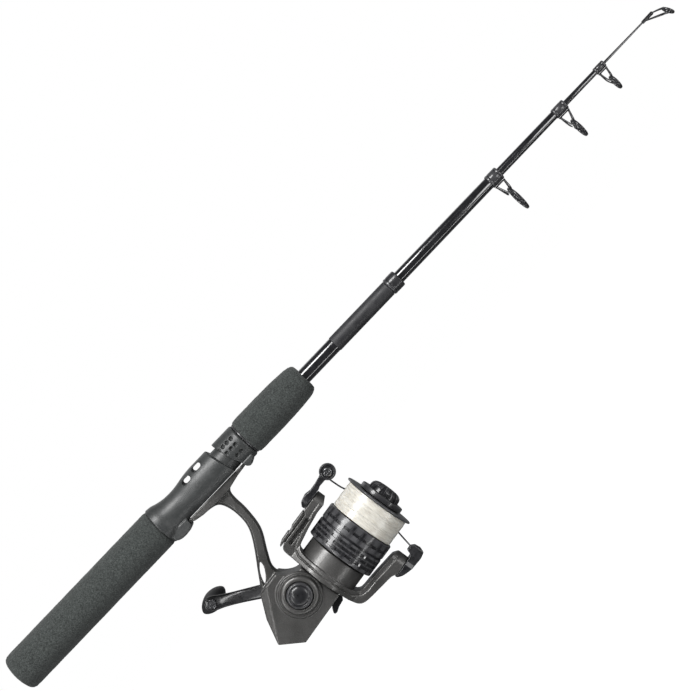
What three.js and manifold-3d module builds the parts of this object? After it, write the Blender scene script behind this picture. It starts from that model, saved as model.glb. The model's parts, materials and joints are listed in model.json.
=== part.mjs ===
// Telescopic fishing rod with a spinning reel, as an assembly of separate pieces.
// Millimetres. +X runs along the rod from the butt to the tip, +Z is up and the reel hangs below.
// The origin is the middle of the butt's flat face. The crank is on the +Y side.
import * as THREE from 'three';
import { mergeVertices } from 'three/addons/utils/BufferGeometryUtils.js';
import Module from 'manifold-3d';

const wasm = await Module();
wasm.setup();

// ---- driving dimensions of the rod -----------------------------------------------------------
const ROD_SIDES = 20;
const BLANK_RADIUS = 4.95;
const BLANK_BORE = 4.3;
const HANDLE_BORE = 5.05; // bore of the pieces that are glued on the blank
const GRIP_END = 126.3;
const GRIP_RADIUS = 13.3;
const CAP_RADIUS = 8.5;
const SEAT_FRONT = 187;
const BARREL_RADIUS = 9.3;
const BARREL_END = 228;
const BED_Z = -9.5; // flat that the reel foot lies on
const FOOT_GAP = 0.3;
const FOREGRIP_START = 203;
const FOREGRIP_END = 255.3;
const HOOD_BORE = 9.7;
const HOOD_RADIUS = 12.2;
const BASE_END = 340;

// Each telescoping section: where it ends, its hidden start, its radii and bore.
const SECTIONS = [
  { name: 'section_2', start: 105.5, mouth: 340, end: 430.5, rear: 4.0, front: 3.85, bore: 3.1, sides: 20 },
  { name: 'section_3', start: 169.5, mouth: 430.5, end: 489.5, rear: 2.8, front: 2.75, bore: 2.1, sides: 16 },
  { name: 'section_4', start: 209.5, mouth: 489.5, end: 524.5, rear: 1.8, front: 1.75, bore: 1.2, sides: 12 },
];
const COLLARS = [
  { name: 'collar_2', start: 421.5, end: 430.5, bore: 4.02, radius: 4.6 },
  { name: 'collar_3', start: 480, end: 489.5, bore: 2.86, radius: 3.5 },
  { name: 'collar_4', start: 516.5, end: 524.5, bore: 1.88, radius: 2.4 },
];
const GUIDES = [
  { name: 'guide_2', x: 427.3, radius: 9.1, drop: 19.4, foot: [422, 430], footZ: -4.7, wire: 0.6 },
  { name: 'guide_3', x: 485, radius: 7.1, drop: 16.6, foot: [480.5, 489], footZ: -3.6, wire: 0.5 },
  { name: 'guide_4', x: 521, radius: 5.4, drop: 13.35, foot: [517, 524], footZ: -2.5, wire: 0.45 },
];
const GUIDE_BAND = 1.5; // radial width of a guide's frame, and of the insert inside it
const TIP_START = 255;
const TIP_END = 565;
const TIP_RING = { x: 575.6, z: -6.2, radius: 4.15, tilt: 25 };

// ---- driving dimensions of the reel, in the reel's own frame ---------------------------------
// Its +X is the spool axis and its origin is on that axis, in the gear housing.
const REEL_AT = [157.5, 0, -96.4];
const REEL_TILT = THREE.MathUtils.degToRad(7.35);
const CRANK_AXIS = [1, 6]; // x and z of the crank shaft
const HOUSING_HALF = 15;
const HOUSING_FRONT = 14.8;
const ROTOR_BACK = 15.4;
const ROTOR_WEB = 21.4; // front face of the rotor's disc
const COVER_SPLIT = 11;
const SPLIT_GAP = 0.3;
const STEM_HALF = 4.6;
const SHAFT_RADIUS = 1.75;
const PINION_BORE = 2.1;
const PINION_SHANK = 3;
const GEAR_SHAFT = 3;
const DRIVE_TEETH = 31;
const PINION_TEETH = 6;
const OSCILLATION_TEETH = 24;
const ROUND_SIDES = 24;
const CUP_RADIUS = 19.8;
const ARM_HALF = 7.5;
const BAIL_PIVOT = 51; // x of the axis that the bail swings about
const ROLLER_AT = [71, 36.7];
const SPOOL_BORE = 2.1;
const SKIRT_RADIUS = 22.9;
const CRANK_LENGTH = 61.2;
const CRANK_ANGLE = THREE.MathUtils.degToRad(141.8);

const rod = new THREE.Group();
const reel = new THREE.Group();
reel.position.set(...REEL_AT);
reel.rotation.y = -REEL_TILT;
reel.updateMatrixWorld(true);
rod.add(reel);

// ---- helpers -----------------------------------------------------------------------------------
const vector = (x, y, z) => new THREE.Vector3(x, y, z);

function addPiece(group, name, geometry, [color, roughness, metalness]) {
  const mesh = new THREE.Mesh(geometry, new THREE.MeshStandardMaterial({ color, roughness, metalness }));
  mesh.name = name;
  group.add(mesh);
  return mesh;
}

// Solid of revolution about X, from [x, radius] points that climb along the outside.
function turned(profile, sides = ROD_SIDES) {
  const points = profile.map(([x, radius]) => new THREE.Vector2(radius, x));
  const first = points[0];
  if (first.x > 0 || points[points.length - 1].x > 0) {
    points.push(first.clone());
  }
  return new THREE.LatheGeometry(points, sides).rotateZ(-Math.PI / 2);
}

// The same about a line along Y through (x, z), from [y, radius] points.
function turnedY(profile, sides, x = 0, z = 0) {
  const points = profile.map(([y, radius]) => new THREE.Vector2(radius, y));
  const first = points[0];
  if (first.x > 0 || points[points.length - 1].x > 0) {
    points.push(first.clone());
  }
  return new THREE.LatheGeometry(points, sides).translate(x, 0, z);
}

const rodX = (radius, from, to, sides = 16) => (
  turned([[from, 0], [from, radius], [to, radius], [to, 0]], sides)
);
const rodY = (x, z, radius, from, to, sides = 16) => (
  turnedY([[from, 0], [from, radius], [to, radius], [to, 0]], sides, x, z)
);
const rodZ = (x, y, radius, from, to, sides = 12) => (
  new THREE.CylinderGeometry(radius, radius, to - from, sides)
    .rotateX(Math.PI / 2)
    .translate(x, y, (from + to) / 2)
);
const block = (x0, x1, y0, y1, z0, z1) => (
  new THREE.BoxGeometry(x1 - x0, y1 - y0, z1 - z0)
    .translate((x0 + x1) / 2, (y0 + y1) / 2, (z0 + z1) / 2)
);

function outline(points) {
  return new THREE.Shape(points.map(([a, b]) => new THREE.Vector2(a, b)));
}

function extruded(shape, length, bevel, curveSegments) {
  const geometry = new THREE.ExtrudeGeometry(shape, {
    depth: length - 2 * bevel,
    bevelEnabled: bevel > 0,
    bevelThickness: bevel,
    bevelSize: bevel,
    bevelOffset: -bevel,
    bevelSegments: 2,
    curveSegments,
  });
  return geometry.translate(0, 0, bevel);
}

// A shape drawn in x and z, thick along Y.
const slabXZ = (shape, y0, y1, bevel = 0, curveSegments = 6) => (
  extruded(shape, y1 - y0, bevel, curveSegments).rotateX(Math.PI / 2).translate(0, y1, 0)
);
// A shape drawn in x and y, thick along Z.
const slabXY = (shape, z0, z1, bevel = 0, curveSegments = 6) => (
  extruded(shape, z1 - z0, bevel, curveSegments).translate(0, 0, z0)
);
// A shape drawn in y and z, thick along X.
function slabYZ(shape, x0, x1, bevel = 0, curveSegments = 6) {
  const turn = new THREE.Matrix4().makeBasis(vector(0, 1, 0), vector(0, 0, 1), vector(1, 0, 0));
  return extruded(shape, x1 - x0, bevel, curveSegments).applyMatrix4(turn).translate(x0, 0, 0);
}

// A round bar along a smooth curve through the points.
function bar(points, radius, steps, halfSides = 3) {
  const section = new THREE.Shape().absarc(0, 0, radius, 0, 2 * Math.PI);
  const path = new THREE.CatmullRomCurve3(points.map((p) => vector(...p)));
  return new THREE.ExtrudeGeometry(section, { steps, extrudePath: path, curveSegments: halfSides });
}

function toothed(teeth, root, tip) {
  const points = [];
  for (let n = 0; n < teeth; n += 1) {
    [[0, root], [0.3, tip], [0.6, tip], [0.9, root]].forEach(([share, radius]) => {
      const angle = (2 * Math.PI * (n + share)) / teeth;
      points.push([radius * Math.cos(angle), radius * Math.sin(angle)]);
    });
  }
  return outline(points);
}

// ---- joining and cutting -----------------------------------------------------------------------
function solid(geometry) {
  const plain = geometry.clone();
  plain.deleteAttribute('normal');
  plain.deleteAttribute('uv');
  const merged = mergeVertices(plain, 1e-6);
  const corners = merged.index.array;
  const kept = [];
  for (let n = 0; n < corners.length; n += 3) {
    const [a, b, c] = corners.slice(n, n + 3);
    if (a !== b && b !== c && a !== c) {
      kept.push(a, b, c);
    }
  }
  return new wasm.Manifold(new wasm.Mesh({
    numProp: 3,
    vertProperties: new Float32Array(merged.attributes.position.array),
    triVerts: new Uint32Array(kept),
  }));
}

function geometryOf(body) {
  const mesh = body.getMesh();
  const geometry = new THREE.BufferGeometry();
  geometry.setAttribute('position', new THREE.BufferAttribute(new Float32Array(mesh.vertProperties), 3));
  geometry.setIndex(new THREE.BufferAttribute(new Uint32Array(mesh.triVerts), 1));
  geometry.computeVertexNormals();
  return geometry;
}

const join = (...parts) => geometryOf(parts.map(solid).reduce((sum, part) => sum.add(part)));
const cut = (base, ...tools) => (
  geometryOf(tools.map(solid).reduce((rest, tool) => rest.subtract(tool), solid(base)))
);
const common = (...parts) => geometryOf(parts.map(solid).reduce((sum, part) => sum.intersect(part)));

// ---- finishes: colour, roughness, metalness ----------------------------------------------------
const FOAM = [0x2b2c2e, 0.95, 0];
const GRAPHITE = [0x47484b, 0.5, 0.1];
const BLANK_BLACK = [0x0c0c0e, 0.15, 0.1];
const MATT_BLACK = [0x1c1c1f, 0.6, 0];
const GLOSS_BLACK = [0x101013, 0.2, 0.1];
const GUNMETAL = [0x55565a, 0.4, 0.6];
const STEEL = [0xb9bbbf, 0.25, 1];
const BRASS = [0xb08d4a, 0.35, 1];
const WOUND_LINE = [0xe9e6dd, 0.3, 0];
const CERAMIC = [0x2a2a2d, 0.15, 0];
const FELT = [0x8a8579, 0.9, 0];

// ---- rod ---------------------------------------------------------------------------------------
function addButt() {
  const cap = turned([[0, 0], [0, CAP_RADIUS], [2.7, CAP_RADIUS], [2.7, 4.15], [14, 4.15], [14, 0]]);
  addPiece(rod, 'butt_cap', cap, MATT_BLACK);
  const grip = turned([
    [0, CAP_RADIUS + 0.1], [0, 11.2], [0.9, 12.5], [2.6, 13.1], [6, GRIP_RADIUS],
    [GRIP_END - 1.6, GRIP_RADIUS], [GRIP_END - 0.2, 12.9], [GRIP_END, 12.4],
    [GRIP_END, HANDLE_BORE], [3, HANDLE_BORE], [3, CAP_RADIUS + 0.1],
  ]);
  addPiece(rod, 'rear_grip', grip, FOAM);
}

function addBlank() {
  const tube = turned([
    [3, BLANK_BORE], [3, BLANK_RADIUS], [BASE_END, BLANK_RADIUS], [BASE_END, BLANK_BORE],
  ]);
  addPiece(rod, 'base_section', tube, BLANK_BLACK);
  const wrap = turned([[283, 5], [283, 5.3], [331.4, 5.3], [331.4, 5]]);
  addPiece(rod, 'blank_wrap', wrap, MATT_BLACK);
  const collar = turned([
    [331.7, 5], [331.7, 5.5], [332.2, 5.85], [339.8, 5.85], [340.4, 5.3], [340.4, BLANK_BORE],
    [340.1, BLANK_BORE], [340.1, 5],
  ]);
  addPiece(rod, 'base_collar', collar, GLOSS_BLACK);
}

// The barrel's thread is drawn as plain rings, one for each turn.
function threadRings(from, to, pitch, radius, depth) {
  const rings = [];
  for (let x = from; x + pitch <= to; x += pitch) {
    rings.push([x, radius], [x + pitch / 2, radius - depth]);
  }
  return rings;
}

function addReelSeat() {
  const body = turned([
    [GRIP_END + 0.2, HANDLE_BORE], [GRIP_END + 0.2, 13], [GRIP_END + 1, 13.6], [131, 13], [135, 11.6],
    [140, 10.6], [149, 10.5], [155, 11.3], [165, 12.4], [SEAT_FRONT, 12.4], [SEAT_FRONT, BARREL_RADIUS],
    ...threadRings(188, 212, 4, BARREL_RADIUS, 0.6),
    [BARREL_END - 1, BARREL_RADIUS], [BARREL_END, BARREL_RADIUS - 1], [BARREL_END, HANDLE_BORE],
  ]);
  const rearHood = slabXZ(outline([
    [128, -8], [128.5, -13], [131, -14.6], [135.5, -15.2], [139, -14.4], [142, -12.6], [142, -8],
  ]), -9, 9, 2);
  const frontPlane = block(0, 30, -20, 20, -30, 30);
  frontPlane.rotateY(THREE.MathUtils.degToRad(-12.7)).translate(182.2, 0, 0);
  const openFront = geometryOf(solid(frontPlane).subtract(solid(rodX(BARREL_RADIUS, 150, 240, ROD_SIDES))));
  const windows = [[156.8, 162.2, 7, 9.6], [166.2, 171.8, 8.2, 10.9]].map(([x0, x1, z0, z1]) => {
    const radius = (z1 - z0) / 2;
    const slot = new THREE.Shape();
    slot.absarc(x1 - radius, z0 + radius, radius, -Math.PI / 2, Math.PI / 2);
    slot.absarc(x0 + radius, z0 + radius, radius, Math.PI / 2, 1.5 * Math.PI);
    return slabXZ(slot, -15, 15, 0, 4);
  });
  const seat = cut(
    join(body, rearHood),
    openFront,
    block(142, 200, -20, 20, -20, BED_Z),
    block(133.8, 143, -6.2, 6.2, -12.2, BED_Z),
    ...windows,
    rodX(HANDLE_BORE, 120, 240, ROD_SIDES),
  );
  addPiece(rod, 'reel_seat', seat, GRAPHITE);
}

function addHood() {
  const sleeve = turned([
    [182, HOOD_BORE], [182, HOOD_RADIUS], [200.6, HOOD_RADIUS], [201.5, 11.4], [201.5, HOOD_BORE],
  ]);
  const lip = slabXZ(outline([
    [187, -9], [190.4, -11.6], [193.5, -14.4], [196.8, -12.8], [199, -11], [199, -9],
  ]), -8.5, 8.5, 1.2);
  const rearPlane = block(-40, 0, -20, 20, -30, 30);
  rearPlane.rotateY(THREE.MathUtils.degToRad(-18)).translate(187, 0, 0);
  const dimples = [];
  const rows = [[6.2, [186.6, 190, 193.5, 197]], [1.7, [189, 193, 196.6]], [-3.7, [192.6, 196.2]]];
  rows.forEach(([z, places]) => places.forEach((x) => {
    const depth = Math.sqrt(HOOD_RADIUS ** 2 - z ** 2) - 0.8;
    dimples.push(rodY(x, z, 1.15, depth, HOOD_RADIUS + 1, 8), rodY(x, z, 1.15, -HOOD_RADIUS - 1, -depth, 8));
  }));
  const hood = cut(
    join(sleeve, lip),
    rodX(HOOD_BORE, 170, 210, ROD_SIDES),
    block(170, 196.3, -6.2, 6.2, -12.2, -9),
    rearPlane,
    ...dimples,
  );
  addPiece(rod, 'movable_hood', hood, GRAPHITE);
}

function addForegrip() {
  const nut = turned([
    [201.8, HOOD_BORE], [201.8, 11.3], [202.1, 11.7], [202.8, 11.7], [202.8, 10.6], [232, 10.6],
    [232, HOOD_BORE],
  ]);
  addPiece(rod, 'lock_nut', nut, GLOSS_BLACK);
  const foam = turned([
    [FOREGRIP_START, 10.7], [FOREGRIP_START, 12], [204, 12.6], [208, 12.9], [225, 12.9], [240, 12.5],
    [249, 11.8], [253, 11], [254.8, 9.6], [FOREGRIP_END, 7.6], [FOREGRIP_END, 5.35], [232.3, 5.35],
    [232.3, 10.7],
  ]);
  addPiece(rod, 'foregrip', foam, FOAM);
}

function addSections() {
  SECTIONS.forEach(({ name, start, mouth, end, rear, front, bore, sides }) => {
    const tube = turned([[start, bore], [start, rear], [mouth, rear], [end, front], [end, bore]], sides);
    addPiece(rod, name, tube, BLANK_BLACK);
  });
  COLLARS.forEach(({ name, start, end, bore, radius }) => {
    const ring = turned([
      [start, bore], [start, radius - 0.25], [start + 0.5, radius], [end - 0.5, radius], [end, radius - 0.25],
      [end, bore],
    ], 20);
    addPiece(rod, name, ring, GLOSS_BLACK);
  });
  const tip = turned([[TIP_START, 0], [TIP_START, 1], [524, 0.85], [TIP_END, 0.5], [TIP_END, 0]], 10);
  addPiece(rod, 'tip_section', tip, BLANK_BLACK);
}

// A ring about X whose section is a hexagon, thickest at its middle.
const ringBand = (inner, outer, width, edge) => turned([
  [-width / 2, (inner + outer) / 2], [-width / 2 + edge, outer], [width / 2 - edge, outer],
  [width / 2, (inner + outer) / 2], [width / 2 - edge, inner], [-width / 2 + edge, inner],
]);

function addGuides() {
  GUIDES.forEach(({ name, x, radius, drop, foot, footZ, wire }) => {
    const place = (geometry) => geometry.translate(x, 0, -drop);
    const band = place(ringBand(radius - GUIDE_BAND, radius, 1.6, 0.35));
    const saddle = block(foot[0], foot[1], -1.3, 1.3, footZ - 0.9, footZ);
    const legs = [-1, 1].flatMap((side) => [
      bar([
        [foot[0] + 0.8, side * 0.7, footZ - 0.5],
        [x - 2.6, side * radius * 0.45, -drop + radius * 0.78],
        [x - 0.1, side * (radius * 0.93 - 0.4), -drop - radius * 0.1],
      ], wire, 5),
      bar([
        [foot[1] - 0.6, side * 0.7, footZ - 0.5],
        [x + 1.2, side * radius * 0.3, -drop + radius * 0.93],
        [x + 0.1, side * radius * 0.55, -drop + radius * 0.73],
      ], wire, 4),
    ]);
    const bore = place(rodX(radius - GUIDE_BAND, -6, 6, ROD_SIDES));
    addPiece(rod, `${name}_frame`, cut(join(band, saddle, ...legs), bore), GLOSS_BLACK);
    const insert = place(ringBand(radius - 2 * GUIDE_BAND, radius - GUIDE_BAND - 0.1, 2.2, 0.45));
    addPiece(rod, `${name}_ring`, insert, CERAMIC);
  });
}

function addTipTop() {
  const { x, z, radius, tilt } = TIP_RING;
  const place = (geometry) => geometry.rotateY(THREE.MathUtils.degToRad(-tilt)).translate(x, 0, z);
  const sleeve = turned([[559, 0.62], [559, 1.05], [567.5, 1.2], [568, 0.8], [568, 0], [TIP_END + 0.3, 0],
    [TIP_END + 0.3, 0.62]], 12);
  const band = place(ringBand(radius - 0.85, radius, 1.3, 0.3));
  const legs = [-1, 1].flatMap((side) => [
    bar([[562, side * 0.7, -0.9], [569, side * 2.4, -4.2], [575.8, side * 3.4, -7.5]], 0.42, 5),
    bar([[567, side * 0.45, 0.2], [571, side * 1.5, -1.3], [574.6, side * 2, -3]], 0.42, 4),
  ]);
  const bore = place(rodX(radius - 0.85, -3, 3, 20));
  const blank = rodX(0.62, 550, TIP_END + 0.3, 12);
  addPiece(rod, 'tip_top_frame', cut(join(sleeve, band, ...legs), bore, blank), GLOSS_BLACK);
  addPiece(rod, 'tip_top_ring', place(ringBand(radius - 1.65, radius - 0.95, 1.8, 0.25)), CERAMIC);
}

// ---- reel body ---------------------------------------------------------------------------------
function housingBlock() {
  const shape = new THREE.Shape();
  shape.moveTo(-31.8, -1.8);
  shape.lineTo(-20.4, -14.4);
  shape.lineTo(HOUSING_FRONT, -13.9);
  shape.lineTo(HOUSING_FRONT, 14.9);
  shape.splineThru([[9.6, 16.7], [5.2, 20.4], [2, 25.5]].map(([x, z]) => new THREE.Vector2(x, z)));
  shape.lineTo(-13.6, 25.6);
  shape.lineTo(-23.8, 13.2);
  let housing = slabXZ(shape, -HOUSING_HALF, HOUSING_HALF, 1.8, 2);
  // The upper rear of each side slopes in from a crease.
  const crease = THREE.MathUtils.degToRad(48.4);
  [-1, 1].forEach((side) => {
    const wedge = block(-60, 60, 0, 40, 0, 60);
    wedge.rotateX(THREE.MathUtils.degToRad(34));
    wedge.rotateY(-crease);
    wedge.translate(-31.8, HOUSING_HALF, -2.2);
    const tool = side > 0 ? wedge : mirroredY(wedge);
    housing = cut(housing, tool);
  });
  return housing;
}

function mirroredY(geometry) {
  const mirrored = geometry.clone().scale(1, -1, 1);
  const corners = mirrored.index.array;
  for (let n = 0; n < corners.length; n += 3) {
    [corners[n], corners[n + 1]] = [corners[n + 1], corners[n]];
  }
  return mirrored;
}

function stemBlock() {
  const rearEdge = [
    [-16.8, 22], [-6.4, 33], [7.2, 46.8], [14, 56.4], [16.2, 66.5], [15.6, 75], [12.6, 79.6], [4, 82.4],
  ];
  const frontEdge = [
    [30, 80.4], [25.6, 78], [23.9, 73], [22.6, 63], [18.4, 49.2], [9.4, 37.6], [4, 30], [3.8, 24], [8, 17.6],
    [13.8, 14.9],
  ];
  const shape = new THREE.Shape();
  shape.moveTo(-23.8, 13.2);
  shape.splineThru(rearEdge.map(([x, z]) => new THREE.Vector2(x, z)));
  shape.lineTo(4, 92);
  shape.lineTo(30, 92);
  shape.lineTo(...frontEdge[0]);
  shape.splineThru(frontEdge.slice(1).map(([x, z]) => new THREE.Vector2(x, z)));
  shape.lineTo(8, 6);
  const aboveFoot = inReelFrame(block(100, 240, -20, 20, BED_Z - FOOT_GAP, 40));
  return cut(slabXZ(shape, -STEM_HALF, STEM_HALF, 1.6, 2), aboveFoot);
}

// Carries a shape drawn in the rod's frame into the reel's.
const inReelFrame = (geometry) => geometry.applyMatrix4(reel.matrixWorld.clone().invert());

// The foot lies along the rod.
function footBlock() {
  const top = BED_Z - FOOT_GAP;
  const side = slabXZ(outline([
    [134.6, top], [134.6, -11.3], [143.2, -11.9], [145, -13], [151, -14.2], [160, -14.8], [172, -14.9],
    [182, -12.8], [194.6, -11.2], [194.6, top],
  ]), -10, 10);
  const half = [[134.6, 0], [136, 3.8], [142, 5.5], [165, 7], [188, 5.5], [193.4, 3.8], [194.6, 0]];
  const plan = new THREE.Shape();
  plan.moveTo(...half[0]);
  plan.splineThru(half.slice(1).map(([x, y]) => new THREE.Vector2(x, -y)));
  plan.splineThru(half.slice(0, -1).reverse().map(([x, y]) => new THREE.Vector2(x, y)));
  return inReelFrame(common(side, slabXY(plan, -20, top, 0, 2)));
}

function gearCavity() {
  return slabXZ(outline([
    [-22.5, 1.5], [-13, 9.2], [-6, 14.6], [2, 17.2], [10.5, 13.5], [10.5, -6.5], [6.5, -11.3],
    [-17.8, -11.6], [-22.5, -7],
  ]), -12, HOUSING_HALF + 10);
}

const COVER_SCREWS = [[-25.4, -3], [10, -10], [-2, 21]];
const LEVER_PIVOT = 8.5;

function addReelBody() {
  const [cx, cz] = CRANK_AXIS;
  const housing = cut(housingBlock(), block(-60, 60, COVER_SPLIT, 40, -60, 60));
  const boss = turnedY([
    [-19.6, 0], [-19.6, 9.6], [-18.9, 11.6], [-16.4, 12.4], [-16.4, 13.6], [-15.8, 14.3], [-14, 14.3],
    [-14, 0],
  ], ROUND_SIDES, cx, cz);
  const window = new THREE.Shape();
  window.moveTo(-9.2, 26);
  window.quadraticCurveTo(-6.5, 32.5, 1.6, 37.8);
  window.quadraticCurveTo(0.4, 33, -4.6, 28.6);
  window.quadraticCurveTo(-7, 26.2, -9.2, 26);
  const body = cut(
    join(housing, boss, stemBlock(), footBlock()),
    block(HOUSING_FRONT, 30, -30, 30, -30, 30),
    gearCavity(),
    slabXZ(window, -20, 20, 0, 4),
    rodY(cx, cz, 8.6, -30, -17, ROUND_SIDES),
    rodY(cx, cz, 5.2, -30, 0, 20),
    rodX(6.8, 5, 20, 20),
    rodZ(LEVER_PIVOT, 0, 1.6, -20, -8, 12),
    ...COVER_SCREWS.map(([x, z]) => rodY(x, z, 1.3, 4, 30, 8)),
  );
  addPiece(reel, 'reel_body', body, GUNMETAL);
}

function addSideCover() {
  const [cx, cz] = CRANK_AXIS;
  const plate = cut(
    join(
      cut(housingBlock(), block(-60, 60, -40, COVER_SPLIT + SPLIT_GAP, -60, 60)),
      turnedY([[14, 0], [14, 10.5], [16.4, 10], [17, 9.2], [17, 0]], ROUND_SIDES, cx, cz),
    ),
    slabXZ(outline([[-30, 17], [-8, 44], [20, 44], [20, 23.5], [-1, 25], [-14, 25]]), 0, 30),
    rodY(cx, cz, 5.2, 0, 40, 20),
    ...COVER_SCREWS.map(([x, z]) => rodY(x, z, 1.3, 0, 40, 8)),
  );
  addPiece(reel, 'side_cover', plate, GUNMETAL);
  COVER_SCREWS.forEach(([x, z], n) => {
    const screw = cut(
      turnedY([
        [5, 0], [5, 1], [HOUSING_HALF + 0.2, 1], [HOUSING_HALF + 0.2, 2.1], [15.9, 2], [16.4, 1.2], [16.4, 0],
      ], 12, x, z),
      block(x - 3, x + 3, 15.9, 18, z - 0.3, z + 0.3),
    );
    addPiece(reel, `cover_screw_${n + 1}`, screw, STEEL);
  });
}

// ---- gear train --------------------------------------------------------------------------------
function addGears() {
  const [cx, cz] = CRANK_AXIS;
  const bush = (from, to) => turnedY([[from, 3.2], [from, 5], [to, 5], [to, 3.2]], 16, cx, cz);
  addPiece(reel, 'bush_left', bush(-16.7, -12.3), BRASS);
  addPiece(reel, 'bush_right', bush(11.5, 16.6), BRASS);

  const disc = rodY(cx, cz, 9, -8.5, -6, ROUND_SIDES);
  const shaft = rodY(cx, cz, GEAR_SHAFT, -16.8, 17.6, 16);
  const crown = slabXZ(toothed(DRIVE_TEETH, 8.2, 9), -6, -4.2).translate(cx, 0, cz);
  const clear = rodY(cx, cz, 6.9, -6, 0, ROUND_SIDES);
  addPiece(reel, 'drive_gear', join(disc, cut(crown, clear), shaft), BRASS);
}

function addShaftTrain() {
  const shaft = turned([[-17, 0], [-17, SHAFT_RADIUS], [78.4, SHAFT_RADIUS], [79, 1.2], [79, 0]], 12);
  addPiece(reel, 'main_shaft', shaft, STEEL);

  const pinion = cut(
    join(slabYZ(toothed(PINION_TEETH, 3.1, 3.9), 5, 8.3), rodX(PINION_SHANK, 8, 27, 16)),
    rodX(PINION_BORE, 0, 30, 12),
  );
  addPiece(reel, 'pinion_gear', pinion, BRASS);
  const bearing = turned([[10.8, 3.3], [10.8, 6.5], [13.8, 6.5], [13.8, 3.3]], 16);
  addPiece(reel, 'pinion_bearing', bearing, STEEL);

  const crosshead = cut(block(-15.5, -8.5, -3, 2.9, -5, 2.3), rodX(SHAFT_RADIUS + 0.25, -20, 0, 12));
  addPiece(reel, 'crosshead', crosshead, BRASS);
  const post = rodY(-11, 0, 1.5, 7, 10.7, 12);
  const pin = rodY(-6.5, 0, 1.2, 3.2, 6, 10);
  const wheel = slabXZ(toothed(OSCILLATION_TEETH, 6.3, 7), 5.5, 7.5).translate(-11, 0, 0);
  addPiece(reel, 'oscillation_gear', join(wheel, post, pin), BRASS);
}

function addAntiReverse() {
  const lever = new THREE.Shape();
  lever.moveTo(13.3, -14.8);
  lever.lineTo(13.8, -16.9);
  lever.lineTo(12.3, -18.5);
  lever.lineTo(7.6, -19);
  lever.lineTo(4.2, -20.1);
  lever.quadraticCurveTo(2, -20, 2.5, -18.4);
  lever.lineTo(4, -16.4);
  lever.lineTo(5.8, -14.8);
  const body = join(slabXZ(lever, -2.3, 2.3, 0.5, 3), rodZ(LEVER_PIVOT, 0, 1.3, -17, -10.6, 12));
  addPiece(reel, 'anti_reverse_lever', body, GLOSS_BLACK);
}

// ---- crank -------------------------------------------------------------------------------------
// The crank's own frame has +X along the arm, from the crank axis to the knob.
const crank = new THREE.Group();
crank.position.set(CRANK_AXIS[0], 0, CRANK_AXIS[1]);
crank.rotation.y = -CRANK_ANGLE;
reel.add(crank);
const FOLD_Y = 33; // height of the fold hinge above the reel's middle plane
const FORK_GAP = 3.3;

function addCrank() {
  const [cx, cz] = CRANK_AXIS;
  const cap = turnedY([[-22, 0], [-21.7, 4.5], [-20.9, 7.2], [-19.8, 8.2], [-17.3, 8.2], [-17.3, 0]],
    ROUND_SIDES, cx, cz);
  addPiece(reel, 'screw_cap', cap, GLOSS_BLACK);

  const shank = turnedY([[17.9, 0], [17.9, 4.6], [23.4, 4.6], [25.2, 3.9], [27.6, 3.9], [27.6, 0]], 20);
  const cheeks = [-1, 1].map((side) => slabXY(outline([
    [-4, 27], [3.2, 27], [4.3, 33], [3, 36.4], [-3, 36.4], [-4.3, 33],
  ]), side > 0 ? FORK_GAP : -5.4, side > 0 ? 5.4 : -FORK_GAP));
  const bridge = block(-4, 3.2, 26.2, 27.8, -5.4, 5.4);
  const hinge = rodZ(0, FOLD_Y, 1.4, -6, 6, 12);
  addPiece(crank, 'crank_hub', join(shank, ...cheeks, bridge, hinge), GLOSS_BLACK);

  const side = new THREE.Shape();
  side.moveTo(-3.6, 33);
  side.quadraticCurveTo(-3.6, 29.4, 0.5, 29.4);
  side.splineThru([[7, 32.6], [14, 37.4], [26, 42.6], [40, 47.4], [55, 50.3], [66, 50.8]]
    .map(([x, y]) => new THREE.Vector2(x, y)));
  side.lineTo(66, 54.2);
  side.splineThru([[54, 54], [39, 51.4], [25, 47], [12, 41.6], [4, 37.6], [-1, 36.6], [-3.6, 33]]
    .map(([x, y]) => new THREE.Vector2(x, y)));
  const plan = new THREE.Shape();
  plan.moveTo(-5, -3);
  plan.lineTo(6.6, -3);
  plan.quadraticCurveTo(9, -4.9, 15, -4.9);
  plan.lineTo(46, -4.2);
  plan.lineTo(56, -4.2);
  plan.absarc(CRANK_LENGTH, 0, 5.2, -0.75 * Math.PI, 0.75 * Math.PI);
  plan.lineTo(46, 4.2);
  plan.lineTo(15, 4.9);
  plan.quadraticCurveTo(9, 4.9, 6.6, 3);
  plan.lineTo(-5, 3);
  const arm = cut(
    common(slabXY(side, -6, 6, 0, 1), slabXZ(plan, 20, 60, 0, 3)),
    rodZ(0, FOLD_Y, 1.7, -8, 8, 12),
    rodY(CRANK_LENGTH, 0, 1.5, 40, 60, 12),
  );
  addPiece(crank, 'crank_arm', arm, GLOSS_BLACK);
}

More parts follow.
